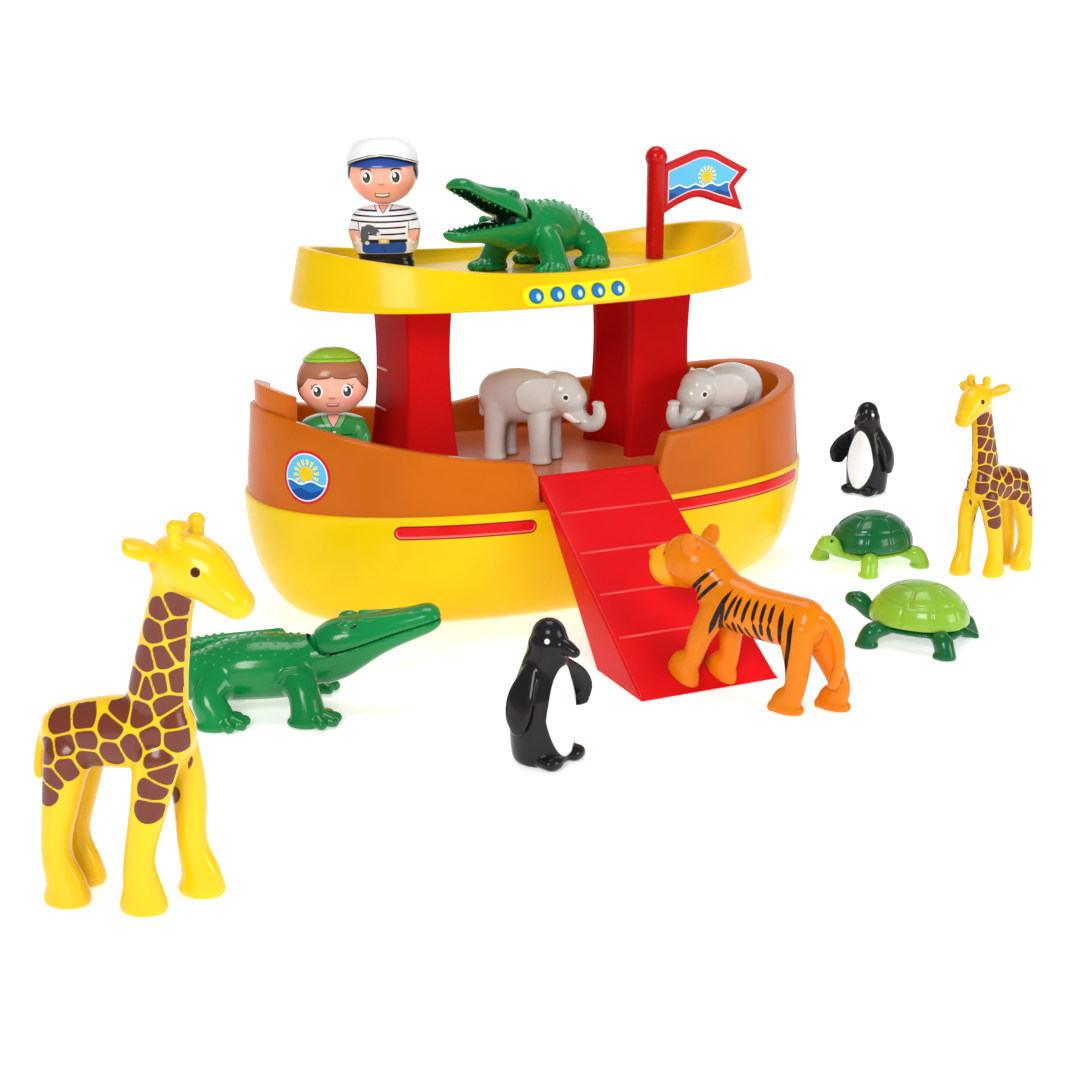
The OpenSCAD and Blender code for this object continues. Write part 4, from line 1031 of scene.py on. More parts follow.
def cap_form(line, power, grow):
    """Domed cap with its lower edge along a line, and each point's height above that edge."""
    turns = np.arange(180) * 2 * math.pi / 180
    x1, y1 = np.cos(turns), np.sin(turns)
    edge = np.interp(np.degrees(np.arctan2(np.abs(x1), -y1)), *line)
    full = (np.abs(x1) ** HEAD_POWER + np.abs(y1) ** HEAD_POWER) ** (-1 / HEAD_POWER)
    x1, y1 = x1 * full, y1 * full
    top = HEAD_MID + HEAD_RISE + 1.3
    rings, above = [], []
    for step in np.concatenate([[-1.0], np.linspace(0, 1, 48)]):
        share = math.sin(max(0.0, step) * math.pi / 2 * 0.985)
        z = edge + (top - edge) * share
        u = np.clip((z - HEAD_MID) / (top - HEAD_MID), 0, 1)
        k = np.power(1 - u ** power, 1 / power)
        out = -1.2 if step < 0 else grow * min(1.0, 0.45 + step * 12)
        rings.append(np.stack([x1 * (HEAD_HALF[0] * k + out), y1 * (HEAD_HALF[1] * k + out), z], 1))
        above.append(z - edge)
    verts, faces = loft(rings)
    return (verts, faces), np.concatenate(above + [[0.0], [20.0]])


def visor_form(line, reach=66):
    """Curved visor below the front edge of a cap."""
    rings = []
    for t in np.linspace(-reach, reach, 67):
        a = math.radians(t)
        high = float(np.interp(abs(t), *line))
        low = min(66.5 + 0.7 * (t / reach) ** 2, high - 0.3)
        taper = math.sqrt(max(0.02, 1 - (t / (reach + 0.5)) ** 2))
        full = (abs(math.sin(a)) ** HEAD_POWER + abs(math.cos(a)) ** HEAD_POWER) ** (-1 / HEAD_POWER)
        ring = []
        for share, out in VISOR_SECTION:
            z = high + (low - high) * share
            k = math.sqrt(max(0.0, 1 - ((z - HEAD_MID) / HEAD_RISE) ** 2))
            out = max(0.5, out * taper) if out > 0 else out
            ring.append((math.sin(a) * full * (HEAD_HALF[0] * k + out),
                         -math.cos(a) * full * (HEAD_HALF[1] * k + out), z))
        rings.append(ring)
    return loft(rings)


def face_print(face, axes, skin, eye_z):
    """Skin with eyes, nose line and cheeks; returns the printer for the front of the head."""
    x, y, z = axes
    side, put = x.size(), face.on(1 - y.step(-4.0, -2.0))
    face.ground(skin, 0.05)
    put(linear(244, 140, 124), blob(side, z, 12.5, eye_z - 6.4, 4.5, 3.4, 0.7) * 0.4)
    put(linear(250, 226, 214), blob(side, z, 8.8, eye_z, 3.3, 4.2))
    put((0.93, 0.93, 0.92), blob(side, z, 8.8, eye_z, 2.9, 3.8))
    put(linear(22, 20, 22), blob(side, z, 8.8, eye_z, 2.3, 3.2))
    put(linear(110, 116, 110), blob(side, z, 8.7, eye_z - 1.4, 1.3, 1.2, 0.5) * 0.4)
    for at in (-9.5, 8.1):
        put((0.95, 0.95, 0.95), blob(x, z, at, eye_z + 1.2, 0.95, 1.25))
    put(linear(206, 112, 96), blob(side, z, 0.6, eye_z - 3.9, 1.5, 0.5, 0.5) * 0.8)
    return put


def captain_clothes(stand, skin):
    """White shirt with dark stripes, field glasses, blue trousers, belt and boots."""
    white, black, navy = (0.9, 0.91, 0.95), linear(22, 20, 22), linear(24, 26, 44)
    cloth = Finish("captain_clothes", rough=0.22, coat=0.4)
    x, y, z = stand.axes(cloth)
    x, z = x / 1.15, (z - 8.2) / 0.956
    side, put = x.size(), cloth.on(1 - y.step(-1.0, 1.0))
    cloth.ground(white, 0.05)
    # Stripes, sleeves and hands
    bend = z - x ** 2.0 * 0.0035
    for height, half in ((19.0, 11.5), (23.0, 11.8), (26.8, 18.0), (30.4, 18.5), (33.8, 15.0)):
        put(navy, between(bend, height - 0.55, height + 0.55,
                          0.15) * (1 - side.step(half - 0.3, half + 0.3)))
    put(navy, between(side - (z - 20.0).size() * 0.08, 12.7, 13.1, 0.15) * between(z, 19.5, 27.5))
    put(skin, blob(side, z, 17.0, 18.2, 4.4, 3.9))
    put(navy, between(z + (side - 16.5).size() * 0.15, 21.7, 22.4, 0.15) * side.step(12.8, 13.2))
    # Open collar
    neck = (z - 32.4) * 0.5 - side
    put(white, neck.step(-2.6, -2.3) * z.step(32.9, 33.4))
    put(navy, between(neck, -2.9, -2.4, 0.12) * z.step(34.2, 34.6))
    put(skin, neck.step(-0.2, 0.2))
    put(navy, between(neck, -0.45, 0.0, 0.12) * z.step(32.0, 32.4))
    # Trousers, belt and buckle
    put(linear(30, 84, 172), bar(x, z, 0.0, 10.9, 11.7, 3.9, 2.4))
    put(linear(22, 56, 128), between(x, -0.25, 0.25, 0.12) * between(z, 7.6, 12.0))
    put(black, bar(x, z, 0.0, 14.9, 12.2, 1.0, 0.4))
    put(linear(226, 186, 84), bar(x, z, 0.0, 14.8, 2.8, 1.5, 0.4))
    put(linear(250, 236, 190), bar(x, z, 0.0, 14.8, 1.7, 0.7, 0.3))
    # Field glasses
    along = (x + 5.8) * 0.764 - (z - 21.8) * 0.647
    across = (x + 5.8) * 0.647 + (z - 21.8) * 0.764
    for barrel in (blob(x, z, -10.2, 18.6, 2.3, 5.6), blob(along, across, 0.0, 0.0, 4.7, 2.4)):
        put(linear(88, 94, 96), barrel)
    for cx, cz in ((-2.7, 19.3), (-8.9, 13.8)):
        put(linear(222, 226, 228), blob(x, z, cx, cz, 1.2, 1.2))
    cloth.ink(black, 1 - z.step(6.6, 7.2))
    return cloth.done()


def make_captain():
    """Captain on the roof: body, head, cap and visor."""
    stand = Stand((-95, 10), -25, z=roof_floor(-95), tilt=ROOF_TILT)
    skin = linear(249, 176, 152)
    finished("captain_figure", figure_body_form(), captain_clothes(stand, skin), "captain",
             ["captain_body"], stand.matrix)

    form, hair = figure_head_form(CAPTAIN_HAIR, 57.0)
    face = Finish("captain_face", rough=0.24, coat=0.25)
    axes = stand.axes(face)
    x, side, z = axes[0], axes[0].size(), axes[2]
    put = face_print(face, axes, skin, 60.6)
    brow = z - 65.8 + (side - 9.2) ** 2.0 * 0.08
    put(linear(60, 34, 24), between(brow, -0.5, 0.5, 0.2) * between(side, 5.8, 12.4))
    smile = z - 49.8 - x ** 2.0 * 0.035
    put(linear(96, 44, 38), between(smile, -1.5, 1.0, 0.2) * (1 - side.step(4.2, 4.7)))
    put((0.9, 0.9, 0.88), between(smile, -0.7, 0.6, 0.15) * (1 - side.step(3.7, 4.1)))
    face.ink(linear(36, 20, 15), face.mark("hair").step(-0.25, 0.25))
    finished("captain_face", form, face.done(), "captain_head", ["captain_head"], stand.matrix,
             {"hair": hair})

    crown, above = cap_form(CAPTAIN_CAP, 3.0, 1.1)
    cap = Finish("captain_cap_white", rough=0.22, coat=0.3)
    high = cap.mark("above")
    cap.ground((0.84, 0.84, 0.86), 0.04)
    cap.ink(linear(20, 20, 24), 1 - high.step(2.1, 2.4))
    cap.ink(linear(226, 224, 214), between(high, 1.1, 1.7, 0.12))
    finished("captain_crown", crown, cap.done(), "captain_head", ["captain_cap"],
             stand.matrix, {"above": above})
    visor = Finish("captain_visor_blue", rough=0.18, coat=0.4)
    visor.ground(linear(46, 76, 158), 0.2)
    tidy(finished("captain_visor", visor_form(CAPTAIN_CAP), visor.done(), "captain_head",
                  (), stand.matrix))


def keeper_clothes(stand, skin):
    """Green shirt with buttons and a collar, field glasses, sand trousers and brown boots."""
    dark = linear(16, 44, 26)
    cloth = Finish("keeper_clothes", rough=0.22, coat=0.4)
    x, y, z = stand.axes(cloth)
    z = z - 4.3
    side, put = x.size(), cloth.on(1 - y.step(-1.0, 1.0))
    cloth.ground(linear(44, 148, 70), 0.1)
    shoulder = (z - 37.6) + side * 0.28 + y.high(0.0) * 0.2
    cloth.ink(linear(214, 222, 140), shoulder.step(4.0, 4.6) * z.step(28.0, 30.0))
    # Sleeves and buttoned front
    put(dark, between(side - (z - 22.0).size() * 0.05, 12.6, 13.0, 0.15) * between(z, 17.5, 30.0))
    put(linear(70, 160, 84), (1 - side.step(4.2, 4.6)) * between(z, 14.0, 33.0) * 0.6)
    put(dark, between(x, -1.55, -1.15, 0.12) * between(z, 14.0, 33.6))
    for height in (30.4, 25.6, 20.8, 16.6):
        put((0.9, 0.9, 0.9), blob(x, z, 0.4, height, 0.85, 0.85))
    # Collar, hands and pocket
    neck = (z - 33.4) * 0.62 - side
    put(linear(120, 186, 126), neck.step(-4.4, -4.1) * z.step(33.2, 33.6))
    put(dark, between(neck, -4.5, -4.0, 0.12) * z.step(33.2, 33.6))
    put(skin, neck.step(-0.2, 0.2))
    put(dark, between(neck, -0.5, 0.0, 0.12) * z.step(33.0, 33.4))
    put(skin, blob(side, z, 17.0, 17.6, 4.2, 3.6))
    put(dark, bar(x, z, 8.0, 28.8, 3.4, 0.35, 0.3))
    # Field glasses
    for cx, cz in ((7.4, 22.4), (10.6, 21.2)):
        put(linear(20, 40, 104), blob(x, z, cx, cz, 2.0, 4.2))
    put(linear(190, 206, 224), blob(x, z, 11.2, 18.6, 0.7, 0.7))
    # Belt, trousers and boots
    cloth.ink(linear(120, 84, 44), 1 - z.step(13.4, 13.8))
    cloth.ink(linear(188, 156, 104), 1 - z.step(11.6, 12.0))
    cloth.ink(linear(78, 50, 30), 1 - z.step(4.6, 5.0))
    return cloth.done()


def make_keeper():
    """Keeper on the deck: body, head and cap."""
    stand = Stand((-143, -22), -20, z=DECK_Z + SEAT_GAP)
    skin = linear(249, 180, 158)
    finished("keeper_figure", figure_body_form(), keeper_clothes(stand, skin), "keeper",
             ["keeper_body"], stand.matrix)

    form, hair = figure_head_form(KEEPER_HAIR, 57.2)
    face = Finish("keeper_face", rough=0.24, coat=0.25)
    axes = stand.axes(face)
    x, side, z = axes[0], axes[0].size(), axes[2]
    put, lash = face_print(face, axes, skin, 60.0), linear(40, 26, 22)
    lid = (((side - 8.8) / 3.3) ** 2.0 + ((z - 60.0) / 4.2) ** 2.0).root()
    put(lash, between(lid, 0.98, 1.14, 0.05) * side.step(8.4, 9.4) * z.step(60.8, 61.8))
    for reach, low in ((0.3, 62.2), (0.75, 63.2)):
        line = (z - low) - (side - 11.4) * reach
        put(lash, between(line, -0.28, 0.28, 0.12) * between(side, 11.2, 12.6))
    smile = z - 51.6 - x ** 2.0 * 0.02
    put(linear(206, 96, 96), between(smile, -1.5, 1.1, 0.2) * (1 - side.step(3.3, 3.8)))
    put((0.92, 0.9, 0.88), between(smile, -0.1, 0.6, 0.15) * (1 - side.step(2.7, 3.1)))
    brown = face.mix(linear(138, 78, 50), linear(176, 112, 82), z.step(60.0, 76.0))
    face.ink(linear(96, 50, 32), face.mark("hair").step(-0.5, 0.0))
    face.ink(brown, face.mark("hair").step(0.1, 0.5))
    finished("keeper_face", form, face.done(), "keeper_head", ["keeper_head"], stand.matrix,
             {"hair": hair})

    crown, above = cap_form(KEEPER_CAP, 2.2, 0.9)
    cap = Finish("keeper_cap_lime", rough=0.22, coat=0.3)
    cap.ground(linear(150, 196, 56), 0.08)
    cap.ink(linear(104, 152, 40), between(cap.mark("above"), 1.5, 2.1, 0.15))
    finished("keeper_crown", crown, cap.done(), "keeper_head", ["keeper_cap"], stand.matrix,
             {"above": above})


# Animals: each is drawn in its own millimetres, facing +X, standing on Z = 0

class Stand:
    """Where a figure or animal stands: the matrix for its mesh and the axes for its finish."""

    def __init__(self, at, turn, z=0.0, k=1.0, side=1, tilt=0.0):
        self.side, self.k = side, k
        self.turned = (Matrix.Translation(Vector((at[0], at[1], z)) * MM) @ Matrix.Rotation(tilt, 4, "Y")
                       @ Matrix.Rotation(math.radians(turn), 4, "Z"))
        self.matrix = self.turned @ Matrix.Diagonal((MM * k, MM * k * side, MM * k, 1))

    def axes(self, finish):
        """X, Y and Z for a finish, in the animal's own millimetres."""
        size = MM * self.k
        return finish.local(self.turned, (size, size * self.side, size))


def place_ways(stand, ways):
    """Directions of a stand's own, in the set's frame."""
    m = np.array(stand.matrix)[:3, :3]
    out = np.asarray(ways, float) @ m.T
    return out / np.linalg.norm(out, axis=1)[:, None]


def spot(axes, centre, radius, soft=0.25, both=True):
    """Mask of a round dot about a point, on both sides of the animal."""
    x, y, z = axes
    across = y.size() - abs(centre[1]) if both else y - centre[1]
    far = ((x - centre[0]) ** 2.0 + across ** 2.0 + (z - centre[2]) ** 2.0).root()
    return 1 - far.step(radius - soft, radius + soft)


def animal(name, form, finish, stand, body, nodes, marks=None):
    """A finished animal, its faces turned back where it is mirrored."""
    return finished(name, form, finish, body, nodes, stand.matrix, marks, flip=stand.side < 0)


def streak(points, path, width):
    """Signed distance to a leaf-shaped streak along a path, positive inside."""
    path = smooth_path([[p[0], p[1], 0.0] for p in path], 0.8)[:, :2]
    share = np.linspace(0, 1, len(path))
    wide = width * np.minimum(1.0, 2.6 * np.sin(np.pi * np.clip(share, 0.02, 0.98)) ** 0.8 / 2.0 + 0.08)
    best = np.full(len(points), -1e9)
    for p, w in zip(path, wide):
        best = np.maximum(best, w - np.linalg.norm(points - p, axis=1))
    return best


GIRAFFE_HOOF, ELEPHANT_FOOT, TURTLE_FOOT = (9.8, 7.2), (8.4, 8), (6.8, 6.2)
TIGER_PAW, CROCODILE_FOOT = (10, 6.8), (11.4, 9.8)
GIRAFFE_EYE, ELEPHANT_EYE = (43.5, 12.6, 136.0), (30.5, 11.2, 45.0)
GIRAFFE_NECK_X, GIRAFFE_GLANCE = 31, math.radians(-16)
# Middles of the giraffes' printed patches, seen from the side
GIRAFFE_SEEDS = [
    (27, 119), (32, 121), (24, 111), (31, 112), (20, 100), (26.5, 101.5), (32.5, 104), (15.5, 91),
    (20, 89.5), (25, 91), (31, 91.5), (27, 83), (30, 78), (17.5, 79.5), (9, 80), (-5.5, 76), (6, 74),
    (14.4, 67), (22, 70.5), (30, 70), (24.5, 63.5), (-4, 68), (6, 64), (-4, 60.5), (-15, 73),
    (-12.5, 65.5), (-12, 57.5), (-19.5, 62), (-17.5, 53), (-20, 47.5), (26, 58), (22, 52), (20.5, 44)]


def giraffe_form():
    """Giraffe with its head turned a little to one side."""
    legs = (([[22, -6.5, 62, 7, 9.5], [18.5, -8.5, 44, 6.2, 7.4], [13.5, -9, 22, 5.6, 6]], (14, -9)),
            ([[24, 6.5, 62, 7, 8.5], [27, 8.5, 44, 6.2, 7], [27, 9, 22, 5.6, 6]], (30, 9)),
            ([[-14, -6, 60, 7.5, 9.5], [-17, -8.5, 42, 6.2, 7.4], [-20, -9, 22, 5.6, 6]], (-17, -9)),
            ([[-13, 6, 60, 7.5, 9.5], [-17, 8, 42, 6.2, 7.4], [-21, 8.5, 22, 5.6, 6]], (-19, 8.5)))
    body = [
        limb([[-17, 0, 66, 9.5, 11.5], [-4, 0, 67.5, 11, 13.5], [12, 0, 69, 11.5, 14.5],
              [24, 0, 71, 10.5, 14]]),
        limb([[19, 0, 70, 9.5, 13], [21, 0, 86, 8.5, 11.5], [24, 0, 102, 7.6, 10], [27.5, 0, 118, 7.2, 8.8],
              [31, 0, 130, 7.2, 8.5]]),
        *(leg(path, foot, GIRAFFE_HOOF, 8) for path, foot in legs),
        limb([[-24, 0, 71, 2.6, 2.6], [-28, 0, 60, 2.3, 2.3], [-29, 0, 49, 3, 3]])]
    head = [limb([[29, 0, 135.5, 8.8, 10], [37, 0, 135.5, 10.8, 11.6], [45, 0, 132.8, 9.8, 10.8],
                  [52, 0, 127.5, 7.8, 8.2], [57.5, 0, 124, 6.6, 6.4]])]
    trim = []
    for s in (-1, 1):
        trim.append(limb([[36, s * 5.5, 142, 3.1, 3.1], [36, s * 6, 147.6, 2.8, 2.8],
                          [36, s * 6.1, 150, 3.3, 3.3]]))
        trim.append(limb([[30, s * 7, 139, 2.4, 3.2], [26, s * 12, 142, 2.4, 6.4],
                          [22.4, s * 16, 144, 2.0, 5.6]], side=(0.5, 0, 1)))

    def swing(form):
        v, f = form
        x, y, c, s = v[:, 0] - GIRAFFE_NECK_X, v[:, 1], math.cos(GIRAFFE_GLANCE), math.sin(GIRAFFE_GLANCE)
        return np.column_stack([GIRAFFE_NECK_X + x * c - y * s, x * s + y * c, v[:, 2]]), f

    soft = moulded(body + [swing(h) for h in head], 1.1, 9)
    return moulded([soft] + [swing(t) for t in trim], 0.75, 3)


def giraffe_patches(verts, faces):
    """Signed distance into the printed patches, seen from the side."""
    flat = verts[:, [0, 2]]
    seeds = np.array(GIRAFFE_SEEDS, float)
    far = np.linalg.norm(flat[:, None] - seeds[None], axis=2)
    near = np.argsort(far, axis=1)[:, :4]
    rows = np.arange(len(flat))
    first, spread, ease = near[:, 0], np.zeros(len(flat)), 2.4
    for k in range(1, 4):
        other = near[:, k]
        gap = np.linalg.norm(seeds[other] - seeds[first], axis=1)
        spread += np.exp(-ease * (far[rows, other] ** 2 - far[rows, first] ** 2) / (2 * gap))
    spread += np.exp(-ease * (6.0 - far[rows, first]))
    patch = -np.log(spread) / ease - 0.42
    level = (np.abs(normals_of(verts, faces)[:, 1]) - 0.3) * 9.0
    return np.where(np.abs(verts[:, 1]) > 2.0, np.minimum(patch, level), -5.0)


def make_giraffes():
    """Two giraffes of one form; the second is mirrored and smaller."""
    form = giraffe_form()
    patches = giraffe_patches(*form)
    for name, at, turn, high, side in (("giraffe_1", (-348, -339), -37, 165.0, 1),
                                       ("giraffe_2", (291, -117), -170, 137.0, -1)):
        stand = Stand(at, turn, k=high / 153.2, side=side)
        finish = Finish(name + "_print")
        axes = stand.axes(finish)
        finish.ground(tint("giraffe"), 0.08)
        finish.ink_mark("patch", linear(112, 52, 38))
        finish.ink(linear(250, 214, 60), spot(axes, GIRAFFE_EYE, 2.5))
        finish.ink(linear(74, 28, 20), spot(axes, GIRAFFE_EYE, 1.9))
        animal(name + "_skin", form, finish.done(), stand, name, [name],
               {"patch": patches})


def elephant_form():
    """Elephant with its trunk raised at the tip."""
    body = [
        limb([[-22, 0, 41, 14, 16], [-10, 0, 42, 16, 18], [6, 0, 42, 15.5, 17], [16, 0, 43, 12, 14]]),
        limb([[14, 0, 45, 11, 12.5], [23, 0, 45.5, 13, 14.5], [29, 0, 42, 10.8, 11.5]]),
        limb([[27, 0, 39, 7.8, 9.4], [35, 0, 31, 6.2, 6.5], [41, 0, 27, 5.4, 5.4], [47, 0, 28, 5, 5],
              [49.5, 0, 34, 4.4, 4.4], [48.3, 0, 38.5, 3.8, 3.8]])]
    for s in (-1, 1):
        for path, foot in (([[10, s * 8, 36, 7.5, 8.5], [11, s * 9, 18, 7, 7.2]], (11.5, s * 9)),
                           ([[-20, s * 7.5, 36, 8, 9], [-21, s * 9, 18, 7, 7.2]], (-21, s * 9))):
            body.append(leg(path, foot, ELEPHANT_FOOT, 4))
    soft = moulded(body, 1.0, 10)
    trim = [limb([[-31, 0, 46, 2.4, 2.4], [-34.5, 0, 36, 2, 2], [-34.5, 0, 28, 2.3, 2.3]]),
            ball((48.2, 0, 40.6), (4.2, 4.2, 2.0))]
    for s in (-1, 1):
        trim.append(limb([[21, s * 9.5, 47, 2.6, 10], [12, s * 15.5, 46, 2.2, 11.5],
                          [5, s * 18.6, 44, 1.9, 10.5], [1, s * 20, 43, 1.6, 7.5]],
                         side=(s * 0.8, 0.8, 0)))
    return moulded([soft] + trim, 0.7, 3)


def make_elephants():
    """Two elephants of one form, with tusks of their own."""
    form = elephant_form()
    tusks = [limb([[29, s * 6.3, 33, 2.2, 2.2], [35, s * 8.2, 30.2, 1.7, 1.7], [38.6, s * 9, 30, 0.9, 0.9]],
                  sides=16) for s in (-1, 1)]
    for name, at, turn in (("elephant_1", (-7, -10), -50), ("elephant_2", (113, -47.5), -160)):
        stand = Stand(at, turn, z=DECK_Z + SEAT_GAP, k=60.0 / 61.0)
        finish = Finish(name + "_print", rough=0.2, coat=0.5)
        axes = stand.axes(finish)
        finish.ground(tint("elephant"), 0.1)
        finish.ink(linear(236, 230, 218), spot(axes, ELEPHANT_EYE, 2.7))
        finish.ink(linear(16, 14, 14), spot(axes, ELEPHANT_EYE, 1.7))
        animal(name + "_skin", form, finish.done(), stand, name, [name])
        finished(name + "_tusks", join_forms(tusks), plastic("tusk_white", linear(246, 242, 232)), name,
                 (), stand.matrix)


def penguin_form():
    """Penguin with one wing held away from its side."""
    body = [limb([[0, 0, 0.02, 13.5, 12.5], [0, 0, 3, 16, 15], [0, 0, 18, 17, 16.5], [0.5, 0, 34, 16, 16],
                  [1.5, 0, 47, 12.4, 12.8], [3, 0, 56, 10.2, 10.8], [4, 0, 63, 9.8, 10.5],
                  [4, 0, 66.5, 8.4, 9]], start=False, sides=32),
            limb([[9, 0, 62.6, 5, 5], [15, 0, 61.8, 4.2, 4.2], [20.2, 0, 60.4, 3, 3]]),
            limb([[8, 0, 55, 5.5, 3.6], [12, 0, 54.4, 4, 2.8]]),
            limb([[-13, 0, 6, 5, 3.5], [-18, 0, 4.5, 3.5, 2.5]])]
    soft = moulded(body, 0.9, 7)
    trim = [limb([[1, -10, 50, 5, 2.6], [0, -16.6, 38, 8, 2.4], [0, -19.6, 27, 7.5, 2.2],
                  [0.5, -20, 20, 4, 1.8]], side=(1, 0, 0)),
            limb([[1, 9, 51, 5, 2.6], [0, 18.5, 41, 9.8, 2.2], [0, 25.5, 31, 9.6, 2],
                  [0.5, 27.6, 22, 5.6, 1.7]], side=(0.8, 0.6, 0))]
    for s in (-1, 1):
        trim.append(limb([[6, s * 8, 4.2, 6.6, 4.2], [14.4, s * 8.8, 4.0, 6.4, 4.0]]))
    return moulded([soft] + trim, 0.65, 4)


def make_penguins():
    """Two penguins of one form; the second is mirrored."""
    form = penguin_form()
    v = form[0]
    half = 11.8 - 0.055 * np.abs(v[:, 2] - 26.0) - 0.075 * np.maximum(0.0, v[:, 2] - 26.0)
    round_r = 1 - np.sqrt((v[:, 1] / np.maximum(half, 1.0)) ** 2 + ((v[:, 2] - 29.0) / 23.5) ** 2)
    belly = np.where(v[:, 0] > 1.0, round_r * 10.0, -5.0)
    for name, at, turn, side in (("penguin_1", (-127, -281), -65, 1), ("penguin_2", (342, 102), -155, -1)):
        stand = Stand(at, turn, k=73.0 / 74.0, side=side)
        finish = Finish(name + "_print", rough=0.2, coat=0.3, shine=0.15)
        axes = stand.axes(finish)
        finish.ground((0.012, 0.011, 0.012), 0.2)
        finish.ink_mark("belly", linear(240, 244, 248))
        finish.ink(linear(242, 242, 242), spot(axes, (9.2, 8.2, 65.9), 1.5))
        finish.ink((0.01, 0.01, 0.01), spot(axes, (9.4, 8.4, 65.9), 0.75))
        animal(name + "_skin", form, finish.done(), stand, name, [name], {"belly": belly})


SHELL_HALF, SHELL_RISE, SHELL_SEAT = (28.5, 24.0), 23.0, 13.0
SHELL_POWER, SHELL_COUNT = 2.2, 180
PLATE_HEX, PLATE_RIM, PLATE_SCALE = 0.40, 0.86, 25


def shell_ring(k, z):
    """Ring of the turtle's shell at a share of its plan."""
    plan = oval((SHELL_HALF[0] * k, SHELL_HALF[1] * k), SHELL_POWER, SHELL_COUNT)
    return np.column_stack([plan, np.full(SHELL_COUNT, z)])


def turtle_shell_form():
    """Shell dome with the grooves between its plates."""
    rings = [shell_ring(k, SHELL_SEAT) for k in (0.3, 0.7, 0.9)]
    for a, k in ((0, 0.96), (30, 0.985), (60, 0.996)):
        rings.append(shell_ring(k, SHELL_SEAT + 1.2 * math.sin(math.radians(a))))
    for t in np.radians(np.linspace(0, 86, 60)):
        rings.append(shell_ring(math.cos(t), SHELL_SEAT + 2 + (SHELL_RISE - 2) * math.sin(t)))
    verts, faces = loft(rings)
    x, y, z = verts[:, 0] / SHELL_HALF[0], verts[:, 1] / SHELL_HALF[1], verts[:, 2]
    far, turn = np.sqrt(x ** 2 + y ** 2), np.degrees(np.arctan2(y, x)) % 360
    hexes = np.max([np.abs(x * math.cos(a) + y * math.sin(a)) for a in np.radians([0, 60, 120])], axis=0)
    lines = [np.abs(hexes - PLATE_HEX) * PLATE_SCALE, np.abs(far - PLATE_RIM) * PLATE_SCALE]
    spokes = [((hexes > PLATE_HEX) & (far < PLATE_RIM), range(30, 390, 60)),
              (far >= PLATE_RIM, range(10, 370, 36))]
    for zone, angles in spokes:
        for a in angles:
            gap = np.abs((turn - a + 180) % 360 - 180)
            lines.append(np.where(zone, np.radians(gap) * far * PLATE_SCALE, 9))
    near = np.min(lines, axis=0)
    depth = 0.75 * np.exp(-(near / 0.75) ** 2) * (z > SHELL_SEAT + 2.4)
    return verts - normals_of(verts, faces) * depth[:, None], faces


def turtle_body_form():
    """Turtle's body, flattened where the shell sits on it."""
    body = [limb([[-23, 0, 9.6, 16, 3.4], [-8, 0, 9.6, 20, 3.4], [8, 0, 9.6, 20, 3.4],
                  [22, 0, 9.6, 15, 3.4]]),
            limb([[20, 0, 9.6, 5.8, 3.4], [29, 0, 13, 5, 4.4], [35, 0, 18.6, 5.9, 5.6],
                  [40, 0, 19.4, 5.2, 4.6]]),
            limb([[-26, 0, 10, 4, 2.4], [-34, 0, 8.2, 2, 1.6]])]
    for s in (-1, 1):
        for path, foot in (([[13, s * 14, 9.6, 4, 3.4], [20, s * 22, 9, 5.8, 5.6]], (22.5, s * 24.5)),
                           ([[-14, s * 14, 9.6, 4, 3.4], [-20, s * 21, 9, 5.8, 5.6]], (-22.5, s * 23.5))):
            body.append(leg(path, foot, TURTLE_FOOT, 4))
    soft = moulded(body, 0.7, 5)
    trim = []
    for s in (-1, 1):
        trim.append(ball((37.6, s * 4.2, 22.0), (1.9, 1.5, 1.7)))
        for x, y in ((22.5, 24.5), (-22.5, 23.5)):
            for dy in (-3.6, -1.2, 1.2, 3.6):
                trim.append(ball((x + (5.6 - abs(dy) * 0.28), s * y + dy, 1.6), (1.5, 1.25, 1.6)))
    verts, faces = moulded([soft] + trim, 0.6, 2)
    inside = (np.abs(verts[:, 0]) / 28.0) ** 2.2 + (np.abs(verts[:, 1]) / 23.5) ** 2.2 < 1
    verts[:, 2] = np.where(inside, np.minimum(verts[:, 2], 12.9), verts[:, 2])
    return verts, faces


def make_turtles():
    """Two turtles, each with a shell of the other's colour."""
    shell, body = turtle_shell_form(), turtle_body_form()
    lime, dark = tint("turtle_lime"), tint("turtle_green")
    for name, at, turn, top, skin, top_slot, skin_slot in (
            ("turtle_1", (152, -214), 126, lime, dark, "turtle_lime", "turtle_green"),
            ("turtle_2", (224, -67), -175, dark, lime, "turtle_green", "turtle_lime")):
        stand = Stand(at, turn, k=37.0 / 36.0)
        coat = Finish(name + "_shell_print", rough=0.22, coat=0.4)
        coat.ground(top, 0.12)
        finished(name + "_dome", shell, coat.done(), name, [name + "_shell"], stand.matrix)
        finish = Finish(name + "_skin_print", rough=0.24, coat=0.4)
        finish.ground(skin, 0.12)
        finish.ink((0.012, 0.02, 0.012), spot(stand.axes(finish), (38.6, 5.6, 22.0), 1.25))
        finished(name + "_skin", body, finish.done(), name, [name + "_body"], stand.matrix)


